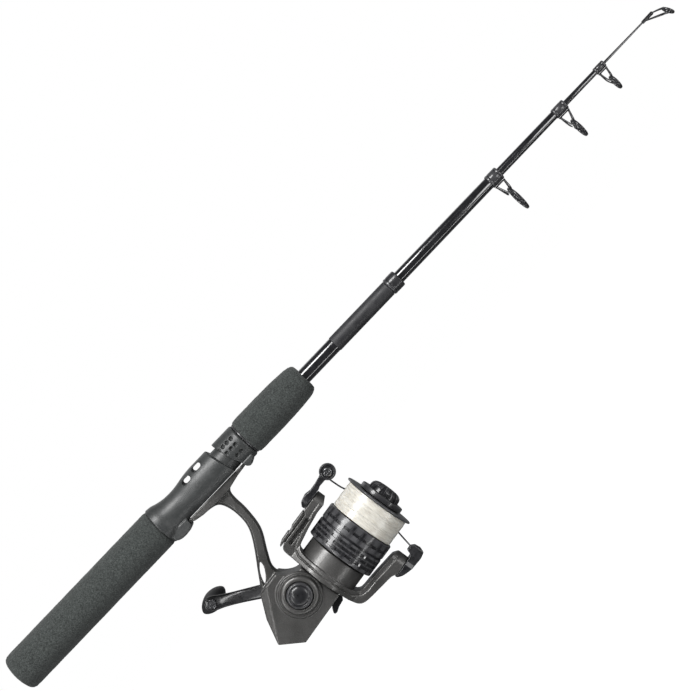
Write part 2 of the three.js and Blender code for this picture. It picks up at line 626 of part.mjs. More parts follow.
function addKnob() {
  const x = CRANK_AXIS[0] + CRANK_LENGTH * Math.cos(CRANK_ANGLE);
  const z = CRANK_AXIS[1] + CRANK_LENGTH * Math.sin(CRANK_ANGLE);
  const pin = turnedY([[49.2, 0], [49.2, 3.2], [50, 3.2], [50, 1.2], [71, 1.2], [71, 0]], 12, x, z);
  addPiece(reel, 'knob_pin', pin, STEEL);
  const leaf = new THREE.Shape();
  leaf.moveTo(-11, 0);
  leaf.bezierCurveTo(-10.6, -4.4, -4, -6.6, 0, -6.6);
  leaf.bezierCurveTo(4, -6.6, 10.4, -4.4, 10.8, 0);
  leaf.bezierCurveTo(10.4, 4.4, 4, 6.6, 0, 6.6);
  leaf.bezierCurveTo(-4, 6.6, -10.6, 4.4, -11, 0);
  const profile = new THREE.Shape();
  profile.moveTo(-4.6, 54.6);
  profile.lineTo(4.6, 54.6);
  profile.bezierCurveTo(5, 60, 11.8, 60, 11.8, 67);
  profile.bezierCurveTo(11.8, 75, 5, 76, 0, 76);
  profile.bezierCurveTo(-5, 76, -11.8, 75, -11.8, 67);
  profile.bezierCurveTo(-11.8, 60, -5, 60, -4.6, 54.6);
  const knob = cut(
    common(slabXZ(leaf, 50, 80, 0, 6), slabXY(profile, -8, 8, 0, 5)),
    rodY(0, 0, 1.6, 40, 72, 12),
  );
  addPiece(reel, 'crank_knob', knob.translate(x, 0, z), MATT_BLACK);
}

// ---- rotor and bail ----------------------------------------------------------------------------
// The rotor seen from its side: a C that carries one bail arm above the spool and one below.
function rotorSide() {
  const shape = new THREE.Shape();
  shape.moveTo(ROTOR_BACK, 26);
  shape.lineTo(ROTOR_BACK, -20);
  shape.quadraticCurveTo(15.8, -28.6, 22.6, -30.2);
  shape.lineTo(28, -31.3);
  shape.lineTo(42, -33.4);
  shape.lineTo(46, -35.3);
  shape.lineTo(57.8, -35.3);
  shape.lineTo(57.8, -28.4);
  shape.lineTo(54, -26.2);
  shape.lineTo(34, -24.2);
  shape.lineTo(27.5, -23.9);
  shape.quadraticCurveTo(22, -23, ROTOR_WEB, -16);
  shape.lineTo(ROTOR_WEB, 16);
  shape.quadraticCurveTo(21.8, 22.6, 27, 23.8);
  shape.lineTo(36, 25.4);
  shape.lineTo(47, 26.7);
  shape.lineTo(53, 26.4);
  shape.lineTo(57.8, 28.8);
  shape.lineTo(57.8, 34);
  shape.lineTo(43, 34);
  shape.lineTo(41, 32);
  shape.lineTo(20, 32);
  shape.quadraticCurveTo(15.5, 31.6, ROTOR_BACK, 26);
  return shape;
}

// The rotor seen along the spool axis: a disc with an arm rising from it each way.
function rotorBack() {
  const shape = new THREE.Shape();
  const tangent = 0.6; // radians from the Y axis to where an arm leaves the disc
  shape.absarc(0, 0, 20.5, -tangent, tangent);
  shape.lineTo(8.4, 23.6);
  shape.lineTo(ARM_HALF, 36);
  shape.lineTo(-ARM_HALF, 36);
  shape.lineTo(-8.4, 23.6);
  shape.absarc(0, 0, 20.5, Math.PI - tangent, Math.PI + tangent);
  shape.lineTo(-8.4, -23.6);
  shape.lineTo(-ARM_HALF, -36);
  shape.lineTo(ARM_HALF, -36);
  shape.lineTo(8.4, -23.6);
  return shape;
}

function rotorPlan() {
  const shape = new THREE.Shape();
  shape.moveTo(10, -22);
  shape.lineTo(30, -22);
  shape.lineTo(30, -9);
  shape.absarc(BAIL_PIVOT - 0.9, 0, ARM_HALF, -Math.PI / 2, Math.PI / 2);
  shape.lineTo(30, 9);
  shape.lineTo(30, 22);
  shape.lineTo(10, 22);
  return shape;
}

function addRotor() {
  const frame = common(
    slabXZ(rotorSide(), -21, 21, 0, 4),
    slabYZ(rotorBack(), 10, 60, 0, 5),
    slabXY(rotorPlan(), -40, 40, 0, 5),
  );
  const cup = turned([
    [17, 0], [17, CUP_RADIUS], [33.2, CUP_RADIUS], [33.2, CUP_RADIUS - 1.5], [ROTOR_WEB, CUP_RADIUS - 1.5],
    [ROTOR_WEB, 0],
  ], ROUND_SIDES);
  const springSlot = block(23, 50, -3, 3, 29, 40);
  const rotor = cut(
    join(frame, cup),
    rodX(PINION_SHANK + 0.3, 0, 40, 16),
    turned([[10, 0], [10, 12], [16.6, 12], [16.6, 0]], 20),
    springSlot,
    rodZ(BAIL_PIVOT, 0, 1.6, -40, -30, 10),
    rodZ(BAIL_PIVOT, 0, 1.6, 30, 40, 10),
  );
  addPiece(reel, 'rotor', rotor, GUNMETAL);
  const nut = cut(
    turned([
      [ROTOR_WEB + 0.3, 0], [ROTOR_WEB + 0.3, 6.2], [ROTOR_WEB + 3.3, 6.2], [ROTOR_WEB + 3.8, 5.6],
      [ROTOR_WEB + 3.8, 0],
    ], 6),
    rodX(PINION_SHANK + 0.3, 0, 40, 16),
  );
  addPiece(reel, 'rotor_nut', nut, BRASS);
  const coverSide = outline([
    [16.4, 32.3], [41, 32.3], [42.4, 34.4], [30.5, 34.5], [30.1, 33.7], [26.6, 33.7], [26.2, 34.4],
    [19.4, 34.2], [17, 33.4],
  ]);
  addPiece(reel, 'arm_cover', slabXZ(coverSide, -6.6, 6.6, 0.5), GUNMETAL);
  const coils = [];
  for (let x = 27; x < 46; x += 2.4) {
    coils.push([x, 0.9], [x + 1.2, 1.3]);
  }
  const spring = turned([[24, 0], [24, 0.9], ...coils, [47, 0.9], [47, 0]], 8).translate(0, 0, 30.6);
  addPiece(reel, 'bail_spring', spring, STEEL);
}

function addBail() {
  const [rx, rz] = ROLLER_AT;
  const armSide = outline([
    [43.4, 34.5], [59, 34.5], [61, 35.2], [68, 34.6], [68, 39.6], [60, 38.4], [55, 38.2], [50.5, 39.3],
    [46, 38.5], [43.2, 36],
  ]);
  const armPlan = new THREE.Shape();
  armPlan.absarc(BAIL_PIVOT, 0, ARM_HALF, Math.PI / 2, 1.55 * Math.PI);
  armPlan.lineTo(66, -8.2);
  armPlan.lineTo(70, -8);
  armPlan.lineTo(70, -5.5);
  armPlan.lineTo(65, -5.2);
  armPlan.lineTo(57, 4);
  const head = turnedY([[-8.4, 0], [-8.4, 4.2], [-8, 5.3], [-5.6, 5.3], [-5.6, 0]], 24, rx, rz);
  const arm = cut(
    join(common(slabXZ(armSide, -9, 9), slabXY(armPlan, 30, 44, 0, 5)), head),
    rodY(rx, rz, 1.5, -20, 0, 12),
    rodZ(BAIL_PIVOT, 0, 1.6, 30, 37, 10),
  );
  addPiece(reel, 'bail_arm', arm, GLOSS_BLACK);
  const roller = turnedY([
    [-5.3, 1.5], [-5.3, 4.3], [-4.2, 4.3], [-3.4, 3.5], [-2.4, 3.5], [-1.6, 4.3], [-0.6, 4.3], [-0.6, 1.5],
  ], 20, rx, rz);
  addPiece(reel, 'line_roller', roller, STEEL);
  const screw = cut(
    turnedY([
      [-9.7, 0], [-9.7, 2.2], [-9.2, 2.8], [-8.6, 2.8], [-8.6, 1.2], [1.6, 1.2], [1.6, 0],
    ], 12, rx, rz),
    block(rx - 4, rx + 4, -11, -9.2, rz - 0.35, rz + 0.35),
  );
  addPiece(reel, 'roller_screw', screw, STEEL);

  const clamp = turnedY([[-0.3, 0], [-0.3, 3.6], [1.4, 3.6], [2, 2.6], [2, 0]], 16, rx, rz);
  const wire = bar([
    [rx, 1, rz - 1], [rx - 1.8, 8, rz - 1.6], [66.4, 18, 34.6], [64.8, 27, 28], [65.6, 33.2, 20],
    [69, 38.6, 10], [72.4, 41, 0], [69, 38.8, -10], [65.2, 33.4, -20], [63.6, 26, -28], [63, 16, -33.4],
    [62.6, 4.9, -36.2],
  ], 0.55, 36);
  addPiece(reel, 'bail_wire', cut(join(clamp, wire), rodY(rx, rz, 1.5, -2, 4, 12)), STEEL);

  const holderSide = outline([
    [43, -35.6], [59.2, -35.6], [60.4, -34], [60.8, -32.2], [64.2, -32.1], [66.4, -34.2], [66.9, -38],
    [65.8, -41], [62, -41.8], [54, -41.1], [47, -39], [43, -36.8],
  ]);
  const holderPlan = new THREE.Shape();
  holderPlan.absarc(BAIL_PIVOT, 0, ARM_HALF + 0.3, 0.3 * Math.PI, 1.7 * Math.PI);
  holderPlan.lineTo(66, -4);
  holderPlan.lineTo(67.5, -2);
  holderPlan.lineTo(67.5, 2);
  holderPlan.lineTo(66, 4);
  const pivot = rodZ(BAIL_PIVOT, 0, 1.3, -38, -31, 10);
  const holder = join(common(slabXZ(holderSide, -9, 9), slabXY(holderPlan, -44, -30, 0, 5)), pivot);
  addPiece(reel, 'bail_holder', holder, GLOSS_BLACK);
  addPiece(reel, 'bail_pivot_pin', rodZ(BAIL_PIVOT, 0, 1.3, 30.3, 36.7, 10), STEEL);
}

// ---- spool -------------------------------------------------------------------------------------
const ARBOR = 17;
const LINE_FROM = 56.5;
const LINE_TO = 74.3;
const DRAG_WELL = 13.6;

function addSpool() {
  const grooves = [36.2, 40, 43.8].flatMap((x) => [
    [x, SKIRT_RADIUS], [x + 0.3, SKIRT_RADIUS - 0.7], [x + 0.9, SKIRT_RADIUS - 0.7], [x + 1.2, SKIRT_RADIUS],
  ]);
  const spool = turned([
    [34, 21.4], [34, SKIRT_RADIUS - 0.5], [34.5, SKIRT_RADIUS], ...grooves, [56, SKIRT_RADIUS],
    [LINE_FROM, SKIRT_RADIUS - 0.5], [LINE_FROM, ARBOR], [LINE_TO, ARBOR], [LINE_TO, 23.2], [74.7, 23.6],
    [75.2, 23.6], [75.5, 23.2], [75.5, DRAG_WELL], [68, DRAG_WELL], [68, SPOOL_BORE], [50, SPOOL_BORE],
    [50, 7], [54, 7], [54, 21.4],
  ], ROUND_SIDES);
  addPiece(reel, 'spool', spool, GLOSS_BLACK);
  const line = turned([
    [LINE_FROM + 0.3, ARBOR + 0.3], [LINE_FROM + 0.3, 21.6], [LINE_TO - 0.3, 21.6],
    [LINE_TO - 0.3, ARBOR + 0.3],
  ], ROUND_SIDES);
  addPiece(reel, 'line_on_spool', line, WOUND_LINE);
  [68.3, 69.6, 70.9].forEach((x, n) => {
    const washer = turned([[x, SPOOL_BORE], [x, 12.8], [x + 1, 12.8], [x + 1, SPOOL_BORE]], 16);
    addPiece(reel, `drag_washer_${n + 1}`, washer, n === 1 ? STEEL : FELT);
  });
  const clip = turned([[72.3, 12], [72.3, 13.2], [73, 13.2], [73, 12]], 16);
  addPiece(reel, 'drag_clip', clip, STEEL);
}

function addDragKnob() {
  const ribs = 12;
  const body = turned([
    [73.4, 0], [73.4, 9], [75.9, 9], [75.9, 14.4], [76.5, 15], [78.7, 15], [79.3, 14.4], [79.3, 10.2],
    [82.6, 9.8], [84.4, 7.4], [85, 4], [85.1, 0],
  ], ROUND_SIDES);
  const rib = () => slabXY(outline([[79, 6], [79, 10.8], [82.8, 10.5], [84.6, 8.2], [85.2, 5.4]]), -0.6, 0.6);
  const ribbed = [];
  for (let n = 0; n < ribs; n += 1) {
    ribbed.push(rib().rotateX((2 * Math.PI * n) / ribs));
  }
  addPiece(reel, 'drag_knob', cut(join(body, ...ribbed), rodX(2.1, 70, 79.6, 12)), GLOSS_BLACK);
}

addButt();
addBlank();
addReelSeat();
addHood();
addForegrip();
addSections();
addGuides();
addTipTop();
addReelBody();
addSideCover();
addGears();
addShaftTrain();
addAntiReverse();
addCrank();
addKnob();
addRotor();
addBail();
addSpool();
addDragKnob();

export default rod;
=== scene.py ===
"""Looks for the telescopic fishing rod and its spinning reel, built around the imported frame.

Lengths are millimetres until piece() turns them into Blender's metres. ROD is the whole object's
frame: +X from the butt to the tip, +Z up, the crank on the +Y side. REEL is the reel's own frame,
whose +X is the spool axis. CRANK has +X along the crank arm.
"""
import json
import math

import bpy
import bmesh
from mathutils import Matrix, Vector, noise


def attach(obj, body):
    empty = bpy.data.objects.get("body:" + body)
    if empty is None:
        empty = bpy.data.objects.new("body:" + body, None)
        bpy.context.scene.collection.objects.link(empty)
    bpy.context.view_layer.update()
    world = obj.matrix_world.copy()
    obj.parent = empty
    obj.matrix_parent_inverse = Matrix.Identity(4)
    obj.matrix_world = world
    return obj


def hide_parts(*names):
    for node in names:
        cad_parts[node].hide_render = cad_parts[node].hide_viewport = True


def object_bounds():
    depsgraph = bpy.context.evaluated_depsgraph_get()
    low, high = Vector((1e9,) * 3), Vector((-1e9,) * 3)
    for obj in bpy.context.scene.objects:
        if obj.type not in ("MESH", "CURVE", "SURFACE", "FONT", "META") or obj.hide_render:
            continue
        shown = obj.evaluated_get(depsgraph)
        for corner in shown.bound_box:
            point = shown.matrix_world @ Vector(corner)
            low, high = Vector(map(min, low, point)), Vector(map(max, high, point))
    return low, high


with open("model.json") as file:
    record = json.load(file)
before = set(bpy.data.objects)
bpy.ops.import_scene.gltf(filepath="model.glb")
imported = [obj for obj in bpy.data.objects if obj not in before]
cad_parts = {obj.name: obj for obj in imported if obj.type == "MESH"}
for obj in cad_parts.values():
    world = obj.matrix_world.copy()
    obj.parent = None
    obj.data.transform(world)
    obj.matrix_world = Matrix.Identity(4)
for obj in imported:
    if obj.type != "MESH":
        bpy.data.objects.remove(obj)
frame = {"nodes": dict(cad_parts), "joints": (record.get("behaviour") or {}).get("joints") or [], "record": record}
cad_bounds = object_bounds()

MM = 0.001
RECORD = frame["record"]
BODY_OF = {node: body for body, members in RECORD["behaviour"]["bodies"].items() for node in members}
SLOT_OF = {row["node"]: row["material_slot"] for row in RECORD["subparts"]}
JOINTS = {joint["name"]: joint for joint in frame["joints"]}

# ---- frames ----
ROTOR_JOINT_X = 20          # where on the spool axis the rotor's joint sits
CRANK_AXIS = (1, 6)         # x and z of the crank shaft in the reel's frame
CRANK_ANGLE = math.radians(141.8)
CRANK_LENGTH = 61.2
ROD = Matrix.Identity(4)


def reel_frame():
    along = Vector(JOINTS["rotor_spin"]["axis"]).normalized()
    up = Vector((-along.z, 0, along.x))
    origin = Vector(JOINTS["rotor_spin"]["pos_m"]) - along * ROTOR_JOINT_X * MM
    axes = Matrix((along, (0, 1, 0), up)).transposed()
    return Matrix.Translation(origin) @ axes.to_4x4()


def shifted(place, x, y, z):
    return place @ Matrix.Translation((x * MM, y * MM, z * MM))


def across(place, x, z):
    """The frame whose +X runs along +Y through (x, z), for solids turned about a cross shaft."""
    return shifted(place, x, 0, z) @ Matrix.Rotation(math.pi / 2, 4, "Z")


def upward(place, x, y):
    """The frame whose +X runs along +Z through (x, y)."""
    return shifted(place, x, y, 0) @ Matrix.Rotation(-math.pi / 2, 4, "Y")


REEL = reel_frame()
CRANK = shifted(REEL, CRANK_AXIS[0], 0, CRANK_AXIS[1]) @ Matrix.Rotation(-CRANK_ANGLE, 4, "Y")


# ---- mesh helpers ----
def piece(name, points, faces, place=ROD):
    mesh = bpy.data.meshes.new(name)
    mesh.from_pydata([place @ (Vector(point) * MM) for point in points], [], faces)
    made = bpy.data.objects.new(name, mesh)
    bpy.context.scene.collection.objects.link(made)
    tidy = bmesh.new()
    tidy.from_mesh(mesh)
    bmesh.ops.recalc_face_normals(tidy, faces=tidy.faces)
    tidy.to_mesh(mesh)
    tidy.free()
    return made


def turned(name, profile, place=ROD, sides=96, dent=None):
    """A solid of revolution about the local X axis, from (x, radius) points. A profile that starts
    off the axis closes on itself. A dent tells how far the surface sinks at an x, radius and angle."""
    points = []
    rings = []
    for x, radius in profile:
        if radius == 0:
            rings.append([len(points)] * sides)
            points.append((x, 0, 0))
        else:
            rings.append([len(points) + n for n in range(sides)])
            for n in range(sides):
                angle = 2 * math.pi * n / sides
                reach = radius - dent(x, radius, angle) if dent else radius
                points.append((x, reach * math.cos(angle), reach * math.sin(angle)))
    if profile[0][1] > 0:
        rings.append(rings[0])
    faces = []
    for near, far in zip(rings, rings[1:]):
        for n in range(sides):
            m = (n + 1) % sides
            corners = []
            for corner in (near[n], near[m], far[m], far[n]):
                if corner not in corners:
                    corners.append(corner)
            if len(corners) > 2:
                faces.append(corners)
    return piece(name, points, faces, place)


def rod_x(radius, low, high, place=ROD, sides=48):
    return turned("tool", [(low, 0), (low, radius), (high, radius), (high, 0)], place, sides)


def prism(outline, low, high, plane="XZ", place=ROD, name="tool"):
    """An outline in one plane, thick from low to high across it."""
    spread = {
        "XZ": lambda a, b, c: (a, c, b),
        "XY": lambda a, b, c: (a, b, c),
        "YZ": lambda a, b, c: (c, a, b),
    }[plane]
    return loft(name, [[spread(a, b, side) for a, b in outline] for side in (low, high)], place)


def block(x0, x1, y0, y1, z0, z1, place=ROD):
    return prism([(x0, y0), (x1, y0), (x1, y1), (x0, y1)], z0, z1, "XY", place)


def smooth(points, steps=6):
    """A Catmull-Rom curve through the points."""
    ends = [points[0], *points, points[-1]]
    made = []
    for n in range(len(points) - 1):
        a, b, c, d = (Vector(ends[n + k]) for k in range(4))
        for step in range(steps):
            t = step / steps
            made.append(0.5 * (
                2 * b + (c - a) * t + (2 * a - 5 * b + 4 * c - d) * t ** 2
                + (3 * b - a - 3 * c + d) * t ** 3
            ))
    made.append(Vector(points[-1]))
    return [tuple(point) for point in made]


def arc(x, y, radius, start, end, steps=14):
    angles = [start + (end - start) * n / steps for n in range(steps + 1)]
    return [(x + radius * math.cos(a), y + radius * math.sin(a)) for a in angles]


def loft(name, rings, place=ROD):
    """Skins closed rings of equal length and caps both ends."""
    sides = len(rings[0])
    points = [point for ring in rings for point in ring]
    faces = [list(range(sides)), list(range(len(points) - sides, len(points)))]
    for r in range(len(rings) - 1):
        for n in range(sides):
            m = (n + 1) % sides
            near = r * sides
            faces.append([near + n, near + m, near + sides + m, near + sides + n])
    return piece(name, points, faces, place)


def bar(name, path, radius, place=ROD, steps=8, sides=14):
    """A round bar along a smooth curve through the points."""
    line = [Vector(point) for point in smooth(path, steps)]
    side = None
    rings = []
    for n, centre in enumerate(line):
        ahead = (line[min(n + 1, len(line) - 1)] - line[max(n - 1, 0)]).normalized()
        if side is None:
            side = ahead.orthogonal().normalized()
        side = (side - ahead * side.dot(ahead)).normalized()
        over = ahead.cross(side)
        ring = []
        for k in range(sides):
            angle = 2 * math.pi * k / sides
            ring.append(tuple(centre + radius * (side * math.cos(angle) + over * math.sin(angle))))
        rings.append(ring)
    return loft(name, rings, place)


def bake(made):
    """Applies every modifier."""
    graph = bpy.context.evaluated_depsgraph_get()
    mesh = bpy.data.meshes.new_from_object(made.evaluated_get(graph), depsgraph=graph)
    made.modifiers.clear()
    made.data = mesh
    return made


def combined(base, operation, others):
    for other in others:
        change = base.modifiers.new("combine", "BOOLEAN")
        change.operation = operation
        change.solver = "EXACT"
        change.object = other
    bake(base)
    for other in others:
        bpy.data.objects.remove(other)
    return base


def cut(base, *tools):
    return combined(base, "DIFFERENCE", tools)


def common(base, *tools):
    return combined(base, "INTERSECT", tools)


def join(base, *others):
    return combined(base, "UNION", others)


def join_plain(base, other):
    """Puts another closed shell into the same mesh."""
    merged = bmesh.new()
    merged.from_mesh(base.data)
    merged.from_mesh(other.data)
    merged.to_mesh(base.data)
    merged.free()
    bpy.data.objects.remove(other)


def bevelled(made, width, segments, angle):
    change = made.modifiers.new("bevel", "BEVEL")
    change.width = width * MM
    change.segments = segments
    change.limit_method = "ANGLE"
    change.angle_limit = math.radians(angle)
    return made


def softened(made, voxel, passes):
    """Adds the modifiers that merge what was joined and round every edge."""
    skin = made.modifiers.new("skin", "REMESH")
    skin.mode = "VOXEL"
    skin.voxel_size = voxel * MM
    skin.use_smooth_shade = True
    rounding = made.modifiers.new("round", "SMOOTH")
    rounding.factor = 0.5
    rounding.iterations = passes
    return made


def cast(made, voxel, passes):
    """A casting or a moulding, with no sharp edge left on it."""
    bake(softened(made, voxel, passes))
    made.data.shade_smooth()
    return made


def subdivided(made):
    """One step of subdivision, for a shape without any edge."""
    change = made.modifiers.new("smooth", "SUBSURF")
    change.levels = 1
    change.render_levels = 1
    return bake(made)


def shaded(made, angle):
    """Smooth shading that keeps every edge sharper than the angle."""
    made.data.shade_smooth()
    made.data.set_sharp_from_angle(angle=math.radians(angle))
    return made


def machined(made, width=0.2, angle=35):
    """Breaks every sharp edge by a little."""
    return shaded(bake(bevelled(made, width, 2, angle)), angle)


# ---- material helpers ----
NOISE_LOW = 0.3             # between these two lies nearly all of a noise
NOISE_HIGH = 0.7
TAPE_BANDS = 140            # bands of the wrapped tape to the metre, before the wave's own factor
EDGE_HIGHLIGHT_SHARE = 0.7                  # how far a convex corner goes toward its painted highlight colour


class Paint:
    """A node material with one Principled shader and object coordinates in metres."""

    def __init__(self, name, **values):
        self.material = bpy.data.materials.new(name)
        self.material.use_nodes = True
        self.tree = self.material.node_tree
        self.shader = self.tree.nodes["Principled BSDF"]
        self.place = self.add("ShaderNodeTexCoord").outputs["Object"]
        for socket, value in values.items():
            self.shader.inputs[socket.replace("_", " ")].default_value = value

    def add(self, kind, sockets=(), **settings):
        node = self.tree.nodes.new(kind)
        for name, value in settings.items():
            setattr(node, name, value)
        for name, value in sockets:
            node.inputs[name].default_value = value
        return node

    def link(self, source, target):
        self.tree.links.new(source, target)

    def stretched(self, x, y, z):
        mapping = self.add("ShaderNodeMapping", [("Scale", (x, y, z))])
        self.link(self.place, mapping.inputs["Vector"])
        return mapping.outputs["Vector"]

    def noise(self, size, detail, roughness, coordinates=None):
        """Cloudy noise whose features are about size millimetres across."""
        settings = [("Scale", 1 / (size * MM)), ("Detail", detail), ("Roughness", roughness)]
        node = self.add("ShaderNodeTexNoise", settings)
        self.link(coordinates or self.place, node.inputs["Vector"])
        return node.outputs["Fac"]

    def cells(self, size):
        node = self.add("ShaderNodeTexVoronoi", [("Scale", 1 / (size * MM))], feature="F1")
        self.link(self.place, node.inputs["Vector"])
        return node.outputs["Distance"]

    def ramp(self, source, stops):
        node = self.add("ShaderNodeValToRGB")
        while len(node.color_ramp.elements) < len(stops):
            node.color_ramp.elements.new(0.5)
        for element, (position, value) in zip(node.color_ramp.elements, stops):
            element.position = position
            element.color = (*value, 1) if isinstance(value, tuple) else (value, value, value, 1)
        self.link(source, node.inputs["Fac"])
        return node.outputs["Color"]

    def spread(self, source, low, high):
        """Brings a noise to the range from low to high."""
        node = self.add("ShaderNodeMapRange", [
            ("To Min", low), ("To Max", high), ("From Min", NOISE_LOW), ("From Max", NOISE_HIGH),
        ])
        self.link(source, node.inputs["Value"])
        return node.outputs["Result"]

    def mixed(self, amount, first, second):
        node = self.add("ShaderNodeMix", data_type="RGBA")
        self.link(amount, node.inputs["Factor"])
        self.link(first, node.inputs["A"])
        self.link(second, node.inputs["B"])
        return node.outputs["Result"]

    def painted_edge_highlight(self, base, edge, low=0.53, high=0.62):
        """Lightens the base where the mesh turns a convex corner: a painted highlight along every edge, the same
        whichever way the light falls.
        """
        shape = self.add("ShaderNodeNewGeometry").outputs["Pointiness"]
        mask = self.add("ShaderNodeMapRange", [("From Min", low), ("From Max", high), ("To Max", EDGE_HIGHLIGHT_SHARE)])
        self.link(shape, mask.inputs["Value"])
        # The colour of the painted highlight on convex edges.
        edge_highlight_colour = self.add("ShaderNodeRGB")
        edge_highlight_colour.outputs[0].default_value = (*edge, 1)
        return self.mixed(mask.outputs["Result"], base, edge_highlight_colour.outputs[0])

    def colour(self, source):
        self.link(source, self.shader.inputs["Base Color"])

    def rough(self, source):
        self.link(source, self.shader.inputs["Roughness"])

    def bumps(self, *layers):
        """Stacks bump nodes, each a (height, strength, depth in millimetres)."""
        normal = None
        for height, strength, depth in layers:
            node = self.add("ShaderNodeBump", [("Strength", strength), ("Distance", depth * MM)])
            self.link(height, node.inputs["Height"])
            if normal is not None:
                self.link(normal, node.inputs["Normal"])
            normal = node.outputs["Normal"]
        self.link(normal, self.shader.inputs["Normal"])


def foam_paint():
    paint = Paint("foam", Specular_IOR_Level=0.25, Sheen_Weight=0.12, Sheen_Roughness=0.6)
    mottle = paint.noise(2.2, 4, 0.65)
    grain = paint.noise(0.75, 4, 0.7)
    base = paint.ramp(mottle, [(0.36, (0.007, 0.009, 0.008)), (0.64, (0.034, 0.039, 0.037))])
    flecks = paint.ramp(grain, [(0.38, (0.003, 0.004, 0.004)), (0.66, (0.078, 0.087, 0.083))])
    paint.colour(paint.mixed(paint.spread(grain, 0.35, 0.75), base, flecks))
    paint.rough(paint.spread(mottle, 0.82, 0.97))
    paint.bumps((grain, 0.6, 0.35), (paint.cells(0.9), 0.35, 0.25))
    return paint.material


def graphite_paint():
    paint = Paint("graphite_plastic", Specular_IOR_Level=0.5, Coat_Weight=0.08, Coat_Roughness=0.35)
    cloud = paint.noise(9, 3, 0.5)
    speck = paint.noise(0.7, 3, 0.6)
    base = paint.ramp(cloud, [(0.35, (0.02, 0.022, 0.022)), (0.65, (0.034, 0.036, 0.036))])
    bright = paint.ramp(speck, [(0.5, (0.024, 0.025, 0.025)), (0.78, (0.075, 0.077, 0.077))])
    specked = paint.mixed(paint.spread(speck, 0.1, 0.45), base, bright)
    # Convex edges are lightened toward a light grey: a painted highlight.
    paint.colour(paint.painted_edge_highlight(specked, (0.1, 0.1, 0.105)))
    paint.rough(paint.spread(speck, 0.38, 0.52))
    paint.bumps((speck, 0.18, 0.08))
    return paint.material


def blank_paint():
    paint = Paint("blank", Coat_Weight=1.0, Coat_Roughness=0.04, Specular_IOR_Level=0.5)
    cloud = paint.noise(5, 2, 0.5)
    bands = [("Scale", TAPE_BANDS), ("Distortion", 0.6)]
    tape = paint.add("ShaderNodeTexWave", bands, wave_type="BANDS", bands_direction="X")
    paint.link(paint.place, tape.inputs["Vector"])
    paint.colour(paint.ramp(cloud, [(0.35, (0.004, 0.004, 0.005)), (0.65, (0.009, 0.009, 0.011))]))
    paint.rough(paint.spread(cloud, 0.16, 0.26))
    paint.bumps((tape.outputs["Fac"], 0.05, 0.05))
    return paint.material


def matt_black_paint():
    paint = Paint("matt_black", Specular_IOR_Level=0.4)
    grain = paint.noise(0.5, 3, 0.6)
    cloud = paint.noise(6, 3, 0.5)
    base = paint.ramp(cloud, [(0.35, (0.013, 0.013, 0.015)), (0.65, (0.022, 0.022, 0.024))])
    # Convex edges are lightened toward a dark grey: a painted highlight.
    paint.colour(paint.painted_edge_highlight(base, (0.05, 0.05, 0.053)))
    paint.rough(paint.spread(cloud, 0.46, 0.62))
    paint.bumps((grain, 0.2, 0.06))
    return paint.material


def gloss_black_paint(name, coat):
    paint = Paint(name, Coat_Weight=coat, Coat_Roughness=0.1, Specular_IOR_Level=0.3)
    smear = paint.noise(4, 4, 0.6)
    grain = paint.noise(0.6, 2, 0.5)
    base = paint.ramp(smear, [(0.35, (0.006, 0.006, 0.007)), (0.65, (0.014, 0.014, 0.016))])
    # Even slight convex edges are lightened to grey: a painted highlight on glossy black.
    paint.colour(paint.painted_edge_highlight(base, (0.13, 0.13, 0.135), 0.515, 0.58))
    paint.rough(paint.spread(smear, 0.24, 0.4))
    paint.bumps((grain, 0.08, 0.04))
    return paint.material


def gunmetal_paint():
    paint = Paint("gunmetal", Metallic=0.55, Coat_Weight=0.3, Coat_Roughness=0.22)
    flake = paint.noise(0.35, 2, 0.6)
    cloud = paint.noise(12, 3, 0.5)
    base = paint.ramp(cloud, [(0.35, (0.05, 0.049, 0.047)), (0.65, (0.074, 0.072, 0.07))])
    flakes = paint.ramp(flake, [(0.4, (0.03, 0.03, 0.029)), (0.7, (0.15, 0.147, 0.142))])
    flaked = paint.mixed(paint.spread(flake, 0.15, 0.5), base, flakes)
    # Convex edges and the crease are lightened: a painted highlight along them.
    paint.colour(paint.painted_edge_highlight(flaked, (0.13, 0.128, 0.124)))
    paint.rough(paint.spread(cloud, 0.34, 0.44))
    paint.bumps((flake, 0.14, 0.05))
    return paint.material


def steel_paint():
    paint = Paint("steel", Metallic=1.0)
    streak = paint.noise(0.8, 3, 0.6, paint.stretched(0.25, 1, 1))
    paint.colour(paint.ramp(streak, [(0.3, (0.17, 0.17, 0.175)), (0.7, (0.34, 0.34, 0.35))]))
    paint.rough(paint.spread(streak, 0.17, 0.33))
    paint.bumps((streak, 0.06, 0.03))
    return paint.material


def plain_paint(name, grain, dark, light, roughness, bump, **values):
    """One noise, given by its size, detail and roughness, drives the colour, gloss and bumps."""
    paint = Paint(name, **values)
    source = paint.noise(*grain)
    paint.colour(paint.ramp(source, [(NOISE_LOW, dark), (NOISE_HIGH, light)]))
    paint.rough(paint.spread(source, *roughness))
    paint.bumps((source, *bump))
    return paint.material


def brass_paint():
    tones = ((0.42, 0.29, 0.11), (0.62, 0.45, 0.2))
    return plain_paint("brass", (1.2, 3, 0.6), *tones, (0.24, 0.42), (0.08, 0.04), Metallic=1.0)


